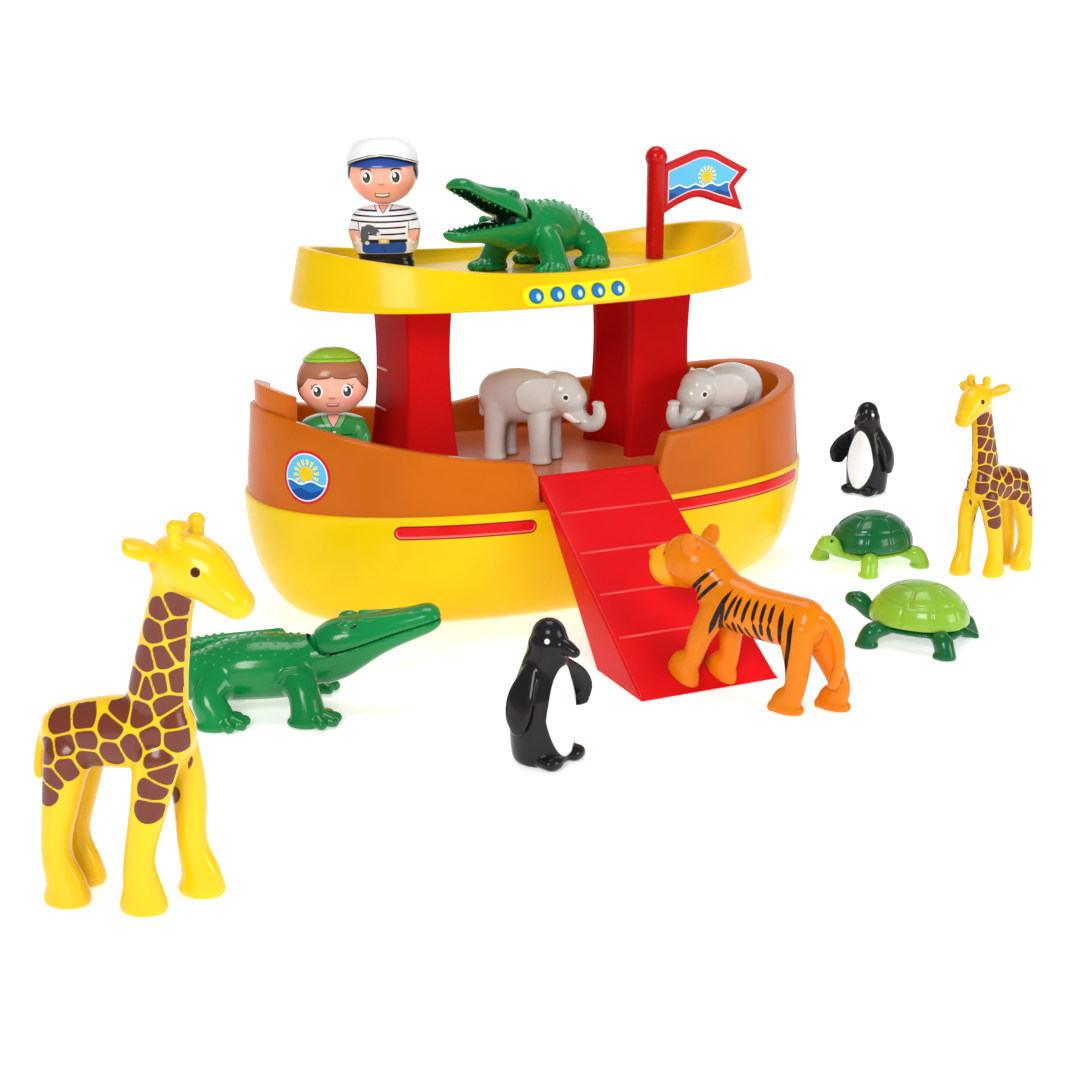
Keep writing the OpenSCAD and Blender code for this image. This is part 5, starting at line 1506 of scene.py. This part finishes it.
# Paths and half widths of the tiger's printed stripes, seen from the side
TIGER_STRIPES = [
    ([(8.2, 59.5), (14.5, 47.3), (19.9, 33.5)], 1.4), ([(10.5, 52.6), (15.8, 33.4)], 1.1),
    ([(4.4, 58), (11.4, 41.4)], 1.0), ([(2.1, 57.2), (5.1, 45)], 1.0), ([(-2.7, 57), (0.8, 42.7)], 1.1),
    ([(-6.9, 56.9), (-5.6, 45)], 1.1), ([(-11.7, 56.1), (-10.5, 45)], 1.1),
    ([(-16.4, 56.1), (-15.4, 45.5)], 1.1), ([(10.4, 41.6), (7.9, 30)], 1.15),
    ([(6.2, 43.5), (6, 33)], 1.1), ([(3.4, 43), (-0.2, 30.5)], 1.15), ([(-0.7, 41.9), (-4.5, 31.5)], 1.0),
    ([(-6, 45.3), (-8.8, 31.5)], 1.2), ([(-10.6, 46.1), (-10.6, 38)], 1.1),
    ([(-15, 45.8), (-15.2, 33.6)], 1.25), ([(-21.9, 55.4), (-21.4, 39.2), (-19, 28.5)], 1.45),
    ([(-28, 52.5), (-27.8, 36.8), (-26, 19.7)], 1.45), ([(20.3, 68), (36.1, 52.5)], 1.15),
    ([(26.1, 59.5), (33, 50)], 0.95), ([(15.9, 63.4), (20.8, 58.6), (30.8, 48.5)], 1.15)]


def tiger_form():
    """Tiger mid stride, its front legs long enough to meet the ramp."""
    hind = (([[-28, 7, 44, 6.5, 10.5], [-31, 9, 26, 6, 7], [-30, 9.5, 13, 5.4, 5.8]], (-26, 9.5)),
            ([[-30, -7, 44, 6.5, 10.5], [-40, -9, 26, 6, 7], [-46, -9.5, 13, 5.4, 5.8]], (-43, -9.5)))
    body = [
        limb([[-30, 0, 46, 11, 13.5], [-18, 0, 46, 12.2, 14], [0, 0, 47, 12.6, 14],
              [12, 0, 49.5, 12.8, 14.5], [22, 0, 52.5, 11.5, 12.5]]),
        limb([[19, 0, 55, 11, 12], [27, 0, 62, 11, 11.5], [34, 0, 66.5, 14, 13.5], [41, 0, 68, 14.2, 14]]),
        limb([[42, 0, 65, 12.4, 12.8], [53.5, 0, 63, 10.4, 11.8]]),
        *(leg(path, paw, TIGER_PAW, 6) for path, paw in hind),
        limb([[19, 7, 47, 6.2, 8.5], [27, 9, 30, 5.8, 6.6], [31, 9.5, 18, 5.4, 5.8],
              [36, 9.5, 12, 6.4, 9], [36.4, 9.5, 0, 6.4, 9]], end=False),
        limb([[17, -7, 47, 6.2, 8.5], [19, -9, 30, 5.8, 6.6], [20, -9.5, 16, 5.4, 5.8],
              [24, -9.5, 9, 6.4, 9], [24.4, -9.5, -2, 6.4, 9]], end=False),
        limb([[-40, 0, 51, 3.8, 3.8], [-47, 0, 43, 3.3, 3.3], [-50, 0, 30, 3.1, 3.1],
              [-47, 0, 17, 3.2, 3.2]])]
    soft = moulded(body, 0.95, 8)
    trim = []
    for s in (-1, 1):
        trim.append(limb([[35, s * 8.6, 75.6, 3.6, 4.6], [34, s * 11.4, 80.6, 2.8, 5.2],
                          [33.4, s * 12.6, 84, 2.0, 3.4]]))
    trim.append(ball((63.4, 0, 68.4), (1.7, 3.1, 2.2)))
    for _, (x, y) in hind:
        for dy in (-4.2, -1.4, 1.4, 4.2):
            trim.append(ball((x + 8.6 - abs(dy) * 0.4, y + dy, 2.6), (2.2, 1.7, 2.6)))
    return moulded([soft] + trim, 0.7, 3)


def make_tiger():
    """Tiger with its front paws set on the ramp and its stripes stored on its points."""
    stand = Stand((13, -251), 118, k=88.0 / 85.6)
    verts, faces = tiger_form()
    ground = placed(stand.matrix, verts)
    ramp_z = np.where(ground[:, 1] > RAMP_END_Y, ramp_top(ground[:, 1]), 0.0) + 0.06
    floor_z = np.where(np.abs(ground[:, 0] - RAMP_X) < 44.5, ramp_z, 0.0)
    ground[:, 2] = np.where((ground[:, 2] < floor_z) & (verts[:, 2] < 24), floor_z, ground[:, 2])
    flat = verts[:, [0, 2]]
    stripe = np.max([streak(flat, path, width) for path, width in TIGER_STRIPES], axis=0)
    stripe = np.where(np.abs(verts[:, 1]) > 4.0, stripe, -5.0)
    finish = Finish("tiger_print", rough=0.22, coat=0.3, shine=0.12)
    axes = stand.axes(finish)
    finish.ground(tint("tiger"), 0.1)
    finish.ink(linear(246, 172, 24), spot(axes, (57.0, 3.0, 62.0), 14.2, 1.8))
    finish.ink_mark("stripe", linear(38, 24, 16))
    finish.ink(linear(40, 22, 14), spot(axes, (51.0, 10.4, 72.4), 1.6))
    finish.ink(linear(52, 30, 20), spot(axes, (64.4, 0.0, 68.8), 2.4, 0.5, both=False) * 0.6)
    finished("tiger_skin", (ground, faces), finish.done(), "tiger", ["tiger"],
             marks={"stripe": stripe})


# Crocodiles: the upper jaw is a piece of its own that turns about an axis in the cheeks

JAW_AXIS = np.array([31.0, 0.0, 33.0])


def about_axis(form, lift):
    """A form drawn along the jaw, raised by an angle about the jaw's axis."""
    v, f = form
    a = math.radians(lift)
    out = v.copy()
    out[:, 0] = JAW_AXIS[0] + v[:, 0] * math.cos(a) - v[:, 2] * math.sin(a)
    out[:, 2] = JAW_AXIS[2] + v[:, 0] * math.sin(a) + v[:, 2] * math.cos(a)
    return out, f


# Stations along the jaws: place, half width and height
SNOUT = [(-4, 9.5, 11), (3, 12.6, 13.4), (12, 13.6, 13.6), (20, 12.8, 12.2), (30, 11, 10), (40, 9.8, 8.8),
         (50, 9.4, 8.2), (56, 9.2, 7.8), (60, 8.0, 6.2), (62.5, 5.2, 3.4)]
CHIN = [(-6, 13.5, 18), (6, 13.8, 17.5), (16, 13.2, 14.5), (26, 12, 11.2), (36, 10.6, 9.2), (46, 9.8, 8.0),
        (54, 9.4, 7.0), (59.5, 8.0, 5.4), (62, 5.4, 3.2)]
SPINE = [(-10, 0, 24.5), (-24, 0, 22.5), (-36, 0, 20.5), (-46, 4, 19.5), (-54.5, 16, 18.5),
         (-52.5, 30, 18.5), (-42, 40, 20), (-26, 44, 22.5)]
SPINE_HALF = [(19, 17.5), (16.5, 15.5), (13.6, 13), (12.8, 12.4), (11.4, 11), (9.4, 9.4), (7.6, 7.8),
              (5.8, 6.2)]
MOUTH_FROM, MOUTH_TO = 6.0, 57.0
BUMP_MID, BUMP_SIDE = (1.25, 1.0, 0.8), (0.85, 0.75, 0.55)


def half_width(stations, x):
    """Half width of a jaw at a place along it."""
    return np.interp(x, [row[0] for row in stations], [row[1] for row in stations])


def half_snout(up, stations, hollow):
    """Upper (1) or lower (-1) half of the snout: hollowed at the mouth, round outside."""
    rings = []
    for x, _, _, w, h in smooth_path([[x, 0, 0, w, h] for x, w, h in stations], 1.2):
        a = np.linspace(0, math.pi, 29)
        c, s = np.cos(a), np.sin(a)
        ring = [(x, w * np.sign(v) * abs(v) ** 0.85, up * (0.3 + h * abs(t) ** 0.85)) for v, t in zip(c, s)]
        depth = min(hollow, h * 0.55) * float(np.interp(x, [10, 20, 54, 60], [0, 1, 1, 0]))
        ring += [(x, w * l, up * (0.3 + depth * (1 - (l / 0.8) ** 4))) for l in np.linspace(-0.8, 0.8, 13)]
        rings.append(ring)
    v, f = loft(rings)
    return v, (f if up > 0 else [tuple(reversed(q)) for q in f])


def crocodile_jaw_form():
    """Upper jaw with its knob, eyes and nostrils, and how far each point is inside the mouth, where painted
    shade goes.
    """
    parts = [half_snout(1, SNOUT, 4.0), ball((0, 0, 0), (11.2, 9.6, 11.2), count=28)]
    for s in (-1, 1):
        parts.append(ball((15, s * 8.0, 11.2), (5.6, 3.4, 3.2), (0, 10, s * -8)))
        parts.append(ball((57, s * 3.4, 5.8), (2.6, 2.0, 1.5)))
        parts.append(limb([[22, s * 6.4, 11.6, 1.6, 1.6], [36, s * 5.4, 8.4, 1.3, 1.3],
                           [50, s * 4.4, 6.8, 1, 1]], sides=12))
    verts, faces = moulded(parts, 0.62, 4)
    flat = (verts[:, 0] > 9.0) & (verts[:, 2] < 0.25)
    verts[:, 2] = np.where(flat, 0.25, verts[:, 2])
    x, y, z = verts.T
    inner = np.minimum.reduce([x - MOUTH_FROM, MOUTH_TO - x, half_width(SNOUT, x) - 1.5 - np.abs(y),
                               4.6 - z])
    return (verts, faces), inner


def crocodile_body_form(tail_side, lift):
    """Body with the lower jaw raised by an angle, cut to let the upper jaw turn."""
    back = [[x, tail_side * y, z, *half] for (x, y, z), half in zip(SPINE, SPINE_HALF)]
    tip = [[-10, tail_side * 44, 25, 4.4, 4.8], [6, tail_side * 41, 29, 2.6, 3]]
    parts = [limb([[24, 0, 28, 13, 13], [10, 0, 25, 18.5, 17]] + back + tip),
             about_axis(limb([[-16, 0, -3, 13, 14], [-2, 0, -4, 14, 13.5], [8, 0, -6, 13, 10]]), lift),
             about_axis(half_snout(-1, CHIN, 0.0), lift)]
    for s in (-1, 1):
        for path, foot in (([[13, s * 11, 23, 9, 9.5], [18, s * 19.5, 15, 8.2, 8.4]], (20, s * 24)),
                           ([[-25, s * 10, 21, 9.5, 10.5], [-31, s * 18.5, 14, 8.4, 8.8]], (-27, s * 23))):
            parts.append(leg(path, foot, CROCODILE_FOOT, 5))
    soft = moulded(parts, 0.9, 6)
    trim = []
    for s in (-1, 1):
        for x, y in ((20, 24), (-27, 23)):
            for way, reach in ((-44, 12.5), (-14, 14.5), (14, 14.5), (44, 12.5)):
                a = math.radians(way + s * 14)
                root = (x + 5.0 * math.cos(a), s * y + 4.0 * math.sin(a))
                tip = (x + reach * math.cos(a), s * y + reach * 0.9 * math.sin(a))
                trim.append(limb([[*root, 4.6, 3.6, 4.6], [*tip, 3.0, 3.2, 3.0]], sides=16))
        for ridge in ([[22, 17.5, 20], [17, 18.8, 26.5], [9, 18.4, 27.5], [4, 18.8, 22]],
                      [[-20, 17.4, 20], [-25, 16.6, 25.5], [-33, 14.6, 24.5], [-37, 14.6, 18]]):
            trim.append(limb([[x, s * y, z, 1.5, 1.5] for x, y, z in ridge], sides=12))
    verts, faces = moulded([soft] + trim, 0.7, 3)
    verts[:, 2] = np.maximum(verts[:, 2], 0.02)
    sector = [(-0.3, -0.4), (90, -0.4), (90, 60), (-28.0, 60)]
    wedge = loft([[(x, y, z) for x, z in sector] for y in (-40, 40)])
    socket = ball((0, 0, 0), (13.4, 13.2, 13.4), count=40)
    trough = loft([[(x, side * 0.8 * half_width(CHIN, x), z)
                    for side, z in ((-1, -2.8), (1, -2.8), (1, 1.0), (-1, 1.0))]
                   for x in np.linspace(13.0, 58.5, 14)])
    return carved((verts, faces), [about_axis(tool, lift) for tool in (wedge, socket, trough)])


def crocodile_bumps(form, tail_side):
    """Points, outward ways and sizes of the bumps along the back and tail."""
    tree = BVHTree.FromPolygons(form[0].tolist(), form[1])
    spine = smooth_path([[16, 0, 26]] + [[x, tail_side * y, z] for x, y, z in SPINE], 3.6)
    points, ways, sizes = [], [], []
    heads = np.gradient(spine, axis=0)
    for i, (p, head) in enumerate(zip(spine, heads)):
        side = np.cross((0, 0, 1), head / np.linalg.norm(head))
        for a in ((-55, -33, -11, 11, 33, 55) if i % 2 else (-44, -22, 0, 22, 44)):
            r = math.radians(a)
            way = Vector(side * math.sin(r)) + Vector((0, 0, math.cos(r)))
            hit, normal, _, _ = tree.ray_cast(Vector(p) + way * 40, -way, 40)
            if hit is None:
                continue
            points.append(tuple(hit))
            ways.append(tuple(normal if normal.dot(way) > 0 else -normal))
            sizes.append(BUMP_MID if abs(a) < 24 else BUMP_SIDE)
    return np.array(points), np.array(ways), np.array(sizes)


def teeth(up, stand, lift):
    """Points along a jaw's edge, with the way each tooth points."""
    points = []
    for x in np.arange(19.0, 55.0, 5.5) + (0.0 if up > 0 else 2.75):
        half = half_width(SNOUT, x) * 0.72
        points += [(x, s * half, up * 0.6) for s in (-1, 1)]
    points += [(57.4, y, up * 0.6) for y in ((-2.6, 2.6) if up > 0 else (0.0,))]
    spots, _ = about_axis((np.array(points), []), lift)
    a = math.radians(lift)
    ways = [(up * math.sin(a), 0, -up * math.cos(a))] * len(points)
    return placed(stand.matrix, spots), place_ways(stand, ways)


def crocodile_finish(name, green):
    """Crocodile green, darkened inside the mouth as painted shade."""
    coat = Finish(name, rough=0.2, coat=0.4)
    coat.ground(green, 0.14)
    # Painted shade: the inside of the mouth is darkened where the jaws' shadow falls.
    coat.ink(linear(6, 44, 26), coat.mark("mouth").step(-0.2, 0.4))
    return coat


def make_crocodiles():
    """Crocodile on the floor and crocodile on the roof: body, upper jaw, bumps, teeth and pin."""
    green = tint("crocodile")
    for name, at, turn, z, tilt, tail_side, lift, gape in (
            ("floor_crocodile", (-229, -159), -18, 0.0, 0.0, 1, 15, 0),
            ("roof_crocodile", (2, -8), -150, roof_floor(2), ROOF_TILT, -1, -2, 24)):
        stand = Stand(at, turn, z=z, tilt=tilt)
        form = crocodile_body_form(tail_side, lift)
        # How far each point is inside the mouth, which sets where the painted shade goes.
        a = math.radians(lift)
        x, y, z = (form[0] - JAW_AXIS).T
        along, above = x * math.cos(a) + z * math.sin(a), z * math.cos(a) - x * math.sin(a)
        mouth = np.minimum.reduce([along - MOUTH_FROM, MOUTH_TO - along, above + 5.0,
                                   half_width(CHIN, along) - 2.2 - np.abs(y)])
        coat = crocodile_finish(name + "_print", green)
        finished(name + "_skin", form, coat.done(), name, [name + "_body"], stand.matrix,
                 {"mouth": mouth}, sharp=40)
        jaw = crocodile_finish(name + "_jaw_print", green)
        jaw.ink(linear(8, 60, 34), jaw.mark("lid").step(-0.3, 0.3))
        snout, inner = crocodile_jaw_form()
        x, y, z = snout[0].T
        far = np.sqrt(((x - 17.5) / 2.4) ** 2 + ((z - 10.4) / 0.9) ** 2)
        lid = np.where(np.abs(y) > 9.0, 1 - far, -1.0)
        finished(name + "_snout", about_axis(snout, lift + gape), jaw.done(), name + "_jaw",
                 [name + "_jaw"], stand.matrix, {"mouth": inner, "lid": lid})
        points, ways, sizes = crocodile_bumps(form, tail_side)
        repeats(name + "_bumps", "dome", placed(stand.matrix, points), facing(place_ways(stand, ways)),
                sizes,
                plastic("crocodile_bump_green", linear(24, 156, 82), rough=0.18), name,
                8)
        for row, up, body, angle in (("upper", 1, name + "_jaw", lift + gape), ("lower", -1, name, lift)):
            spots, ways = teeth(up, stand, angle)
            repeats(f"{name}_teeth_{row}", "tooth", spots, facing(ways),
                    [(1.1, 1.1, length("tooth"))] * len(spots),
                    plastic("crocodile_tooth_green", green, rough=0.2), body, 10)
        pin = limb([[31, end, 33, 1.45, 1.45] for end in (-12.0, 12.0)], side=(1, 0, 0), sides=20)
        finished(name + "_pivot", pin, plastic("pin_green", linear(10, 92, 44)), name,
                 [name + "_pin"], stand.matrix)


# Stage

VIEW_TURN, VIEW_FAR, VIEW_HIGH, VIEW_AIM = math.radians(-25.2), 1.104, 0.3335, 0.031
LENS, SENSOR = 58.42, 36.0
LAMPS = (("key", (-1.4, -1.7, 1.25), 0.8, 30.0), ("fill", (1.2, -1.8, 0.6), 0.9, 15.0),
         ("top", (0.1, 0.2, 2.2), 1.1, 18.0))
LAMP_AIM = 0.1
FLOOR_Z, FLOOR_HALF, FLOOR_REACH, FLOOR_BEND, FLOOR_TOP = -0.3, 6000.0, 2600.0, 900.0, 3200.0


def make_floor(glow):
    """Pale floor that bends up behind the set."""
    sweep = [(-FLOOR_REACH, FLOOR_Z), (FLOOR_REACH, FLOOR_Z)]
    sweep += [(FLOOR_REACH + FLOOR_BEND * math.sin(a), FLOOR_BEND + FLOOR_Z - FLOOR_BEND * math.cos(a))
              for a in np.radians(np.linspace(6, 90, 15))]
    sweep.append((FLOOR_REACH + FLOOR_BEND, FLOOR_TOP))
    verts = [(x, y, z) for y, z in sweep for x in (-FLOOR_HALF, FLOOR_HALF)]
    faces = [(2 * i, 2 * i + 1, 2 * i + 3, 2 * i + 2) for i in range(len(sweep) - 1)]
    floor = new_object("floor", verts, faces)
    floor.data.shade_smooth()
    floor.data.transform(Matrix.Rotation(VIEW_TURN, 4, "Z"))
    finish = Finish("floor_white", rough=0.6, coat=0.0)
    finish.ground((0.9, 0.9, 0.9), 0.01)
    finish.feed("Emission Color", (1.0, 1.0, 1.0))
    finish.feed("Emission Strength", glow)
    floor.data.materials.append(finish.done())


def aimed(name, data, where, high):
    """A lamp or camera, turned to a height above the middle of the set."""
    obj = bpy.data.objects.new(name, data)
    obj.location = where
    obj.rotation_euler = (Vector((0, 0, high)) - Vector(where)).to_track_quat("-Z", "Y").to_euler()
    bpy.context.scene.collection.objects.link(obj)
    return obj


def make_stage():
    """Surround, floor, three lamps and the camera."""
    scene = bpy.context.scene
    look = scene.ark_look
    scene.view_settings.view_transform = "Standard"
    world = bpy.data.worlds.new("studio")
    scene.world = world
    world.use_nodes = True
    sky = world.node_tree.nodes["Background"].inputs
    sky["Color"].default_value = (1.0, 1.0, 1.0, 1.0)
    sky["Strength"].default_value = look.sky
    make_floor(look.floor_glow)
    for name, where, width, power in LAMPS:
        lamp = bpy.data.lights.new(name, "AREA")
        lamp.size, lamp.energy = width, power * look.lamps
        aimed(name, lamp, where, LAMP_AIM)
    camera = bpy.data.cameras.new("camera")
    camera.lens, camera.sensor_width = LENS, SENSOR
    where = (VIEW_FAR * math.sin(VIEW_TURN), -VIEW_FAR * math.cos(VIEW_TURN), VIEW_HIGH)
    scene.camera = aimed("camera", camera, where, VIEW_AIM)


# Add-on: settings, operators and panel

def shade(name, what, red, green, blue):
    """Colour setting, given as a screen colour."""
    return bpy.props.FloatVectorProperty(name=name, description=what, subtype="COLOR", size=3,
                                         min=0.0, max=1.0, default=linear(red, green, blue))


def span(name, what, mm):
    """Length setting, given in millimetres."""
    return bpy.props.FloatProperty(name=name, description=what, subtype="DISTANCE", unit="LENGTH",
                                   default=mm * MM, min=0.0, precision=5)


def strength(name, what, default, most):
    """Setting for a strength of light."""
    return bpy.props.FloatProperty(name=name, description=what, default=default, min=0.0, max=most)


class ARK_PG_colours(bpy.types.PropertyGroup):
    """Colours of the moulded plastics"""
    hull: shade("Hull", "Colour of the hull", 240, 200, 2)
    bulwark: shade("Bulwark", "Colour of the bulwark and bow post", 200, 100, 16)
    deck: shade("Deck", "Colour of the deck", 222, 128, 74)
    roof: shade("Roof", "Colour of the roof", 238, 194, 2)
    ramp: shade("Ramp", "Colour of the ramp and its rod", 222, 18, 26)
    pillar: shade("Pillars", "Colour of the two pillars", 200, 18, 20)
    flag: shade("Flag", "Colour of the flag", 198, 12, 18)
    giraffe: shade("Giraffes", "Ground colour of the giraffes", 242, 196, 14)
    elephant: shade("Elephants", "Colour of the elephants", 206, 202, 196)
    tiger: shade("Tiger", "Ground colour of the tiger", 230, 126, 8)
    turtle_lime: shade("Turtle lime", "Paler colour of the turtles", 140, 188, 52)
    turtle_green: shade("Turtle green", "Darker colour of the turtles", 8, 100, 50)
    crocodile: shade("Crocodiles", "Colour of the crocodiles", 10, 136, 66)


class ARK_PG_sizes(bpy.types.PropertyGroup):
    """Sizes of the small repeated forms"""
    rung: span("Rung", "Length of the bow pillar's rungs", 18.0)
    tread: span("Tread", "Radius of the ramp's treads", 0.8)
    tooth: span("Tooth", "Length of the crocodiles' teeth", 1.5)


class ARK_PG_look(bpy.types.PropertyGroup):
    """Light on the stage"""
    sky: strength("Sky", "Strength of the white surround", 0.24, 4.0)
    floor_glow: strength("Floor glow", "Light the pale floor gives off itself", 0.5, 2.0)
    lamps: strength("Lamps", "Share of the lamps' power", 1.0, 4.0)


def tint(name):
    """A colour setting."""
    return tuple(getattr(bpy.context.scene.ark_colours, name))


def length(name):
    """A size setting, in millimetres."""
    return round(getattr(bpy.context.scene.ark_sizes, name) / MM, 4)


class ARK_OT_stage(bpy.types.Operator):
    """Floor, light and camera"""
    bl_idname = "ark.stage"
    bl_label = "Stage"

    def execute(self, context):
        make_stage()
        return {"FINISHED"}


class ARK_OT_hull(bpy.types.Operator):
    """Hull tub with its printed stripes"""
    bl_idname = "ark.hull"
    bl_label = "Hull"

    def execute(self, context):
        make_hull()
        return {"FINISHED"}


class ARK_OT_bulwark(bpy.types.Operator):
    """Bulwark round the deck, with the bow post and badge"""
    bl_idname = "ark.bulwark"
    bl_label = "Bulwark"

    def execute(self, context):
        make_bulwark()
        return {"FINISHED"}


class ARK_OT_deck(bpy.types.Operator):
    """Deck and the ramp's rod"""
    bl_idname = "ark.deck"
    bl_label = "Deck"

    def execute(self, context):
        make_deck()
        return {"FINISHED"}


class ARK_OT_pillars(bpy.types.Operator):
    """Two pillars between deck and roof"""
    bl_idname = "ark.pillars"
    bl_label = "Pillars"

    def execute(self, context):
        make_pillars()
        return {"FINISHED"}


class ARK_OT_roof(bpy.types.Operator):
    """Roof shell with its printed portholes"""
    bl_idname = "ark.roof"
    bl_label = "Roof"

    def execute(self, context):
        make_roof()
        return {"FINISHED"}


class ARK_OT_ramp(bpy.types.Operator):
    """Ramp with its hook and treads"""
    bl_idname = "ark.ramp"
    bl_label = "Ramp"

    def execute(self, context):
        make_ramp()
        return {"FINISHED"}


class ARK_OT_flag(bpy.types.Operator):
    """Flag on its pole"""
    bl_idname = "ark.flag"
    bl_label = "Flag"

    def execute(self, context):
        make_flag()
        return {"FINISHED"}


class ARK_OT_figures(bpy.types.Operator):
    """Captain on the roof and keeper on the deck"""
    bl_idname = "ark.figures"
    bl_label = "Figures"

    def execute(self, context):
        make_captain()
        make_keeper()
        return {"FINISHED"}


class ARK_OT_giraffes(bpy.types.Operator):
    """Two giraffes, mirror images of each other"""
    bl_idname = "ark.giraffes"
    bl_label = "Giraffes"

    def execute(self, context):
        make_giraffes()
        return {"FINISHED"}


class ARK_OT_elephants(bpy.types.Operator):
    """Two elephants on the deck"""
    bl_idname = "ark.elephants"
    bl_label = "Elephants"

    def execute(self, context):
        make_elephants()
        return {"FINISHED"}


class ARK_OT_penguins(bpy.types.Operator):
    """Two penguins, mirror images of each other"""
    bl_idname = "ark.penguins"
    bl_label = "Penguins"

    def execute(self, context):
        make_penguins()
        return {"FINISHED"}


class ARK_OT_turtles(bpy.types.Operator):
    """Two turtles with separate shells"""
    bl_idname = "ark.turtles"
    bl_label = "Turtles"

    def execute(self, context):
        make_turtles()
        return {"FINISHED"}


class ARK_OT_tiger(bpy.types.Operator):
    """Tiger with its front paws on the ramp"""
    bl_idname = "ark.tiger"
    bl_label = "Tiger"

    def execute(self, context):
        make_tiger()
        return {"FINISHED"}


class ARK_OT_crocodiles(bpy.types.Operator):
    """Two crocodiles with jaws that turn"""
    bl_idname = "ark.crocodiles"
    bl_label = "Crocodiles"

    def execute(self, context):
        make_crocodiles()
        return {"FINISHED"}


OPERATORS = (ARK_OT_stage, ARK_OT_hull, ARK_OT_bulwark, ARK_OT_deck, ARK_OT_pillars, ARK_OT_roof,
             ARK_OT_ramp,
             ARK_OT_flag, ARK_OT_figures, ARK_OT_giraffes, ARK_OT_elephants, ARK_OT_penguins,
             ARK_OT_turtles,
             ARK_OT_tiger, ARK_OT_crocodiles)


GROUPS = {"ark_colours": ARK_PG_colours, "ark_sizes": ARK_PG_sizes, "ark_look": ARK_PG_look}


class ARK_PT_panel(bpy.types.Panel):
    """Settings and pieces of the toy ark"""
    bl_idname = "ARK_PT_panel"
    bl_label = "Toy ark"
    bl_space_type = "VIEW_3D"
    bl_region_type = "UI"
    bl_category = "Ark"

    def draw(self, context):
        for place, kind in GROUPS.items():
            column = self.layout.column()
            for key in kind.__annotations__:
                column.prop(getattr(context.scene, place), key)
        for kind in OPERATORS:
            self.layout.operator(kind.bl_idname)


CLASSES = (*GROUPS.values(), *OPERATORS, ARK_PT_panel)


def register():
    for kind in CLASSES:
        bpy.utils.register_class(kind)
    for place, kind in GROUPS.items():
        setattr(bpy.types.Scene, place, bpy.props.PointerProperty(type=kind))


def unregister():
    for place in GROUPS:
        delattr(bpy.types.Scene, place)
    for kind in reversed(CLASSES):
        bpy.utils.unregister_class(kind)


def main():
    register()
    for kind in OPERATORS:
        group, name = kind.bl_idname.split(".")
        if getattr(getattr(bpy.ops, group), name)() != {"FINISHED"}:
            raise RuntimeError(f"{kind.bl_label} was not made")


if __name__ == "__main__":
    main()
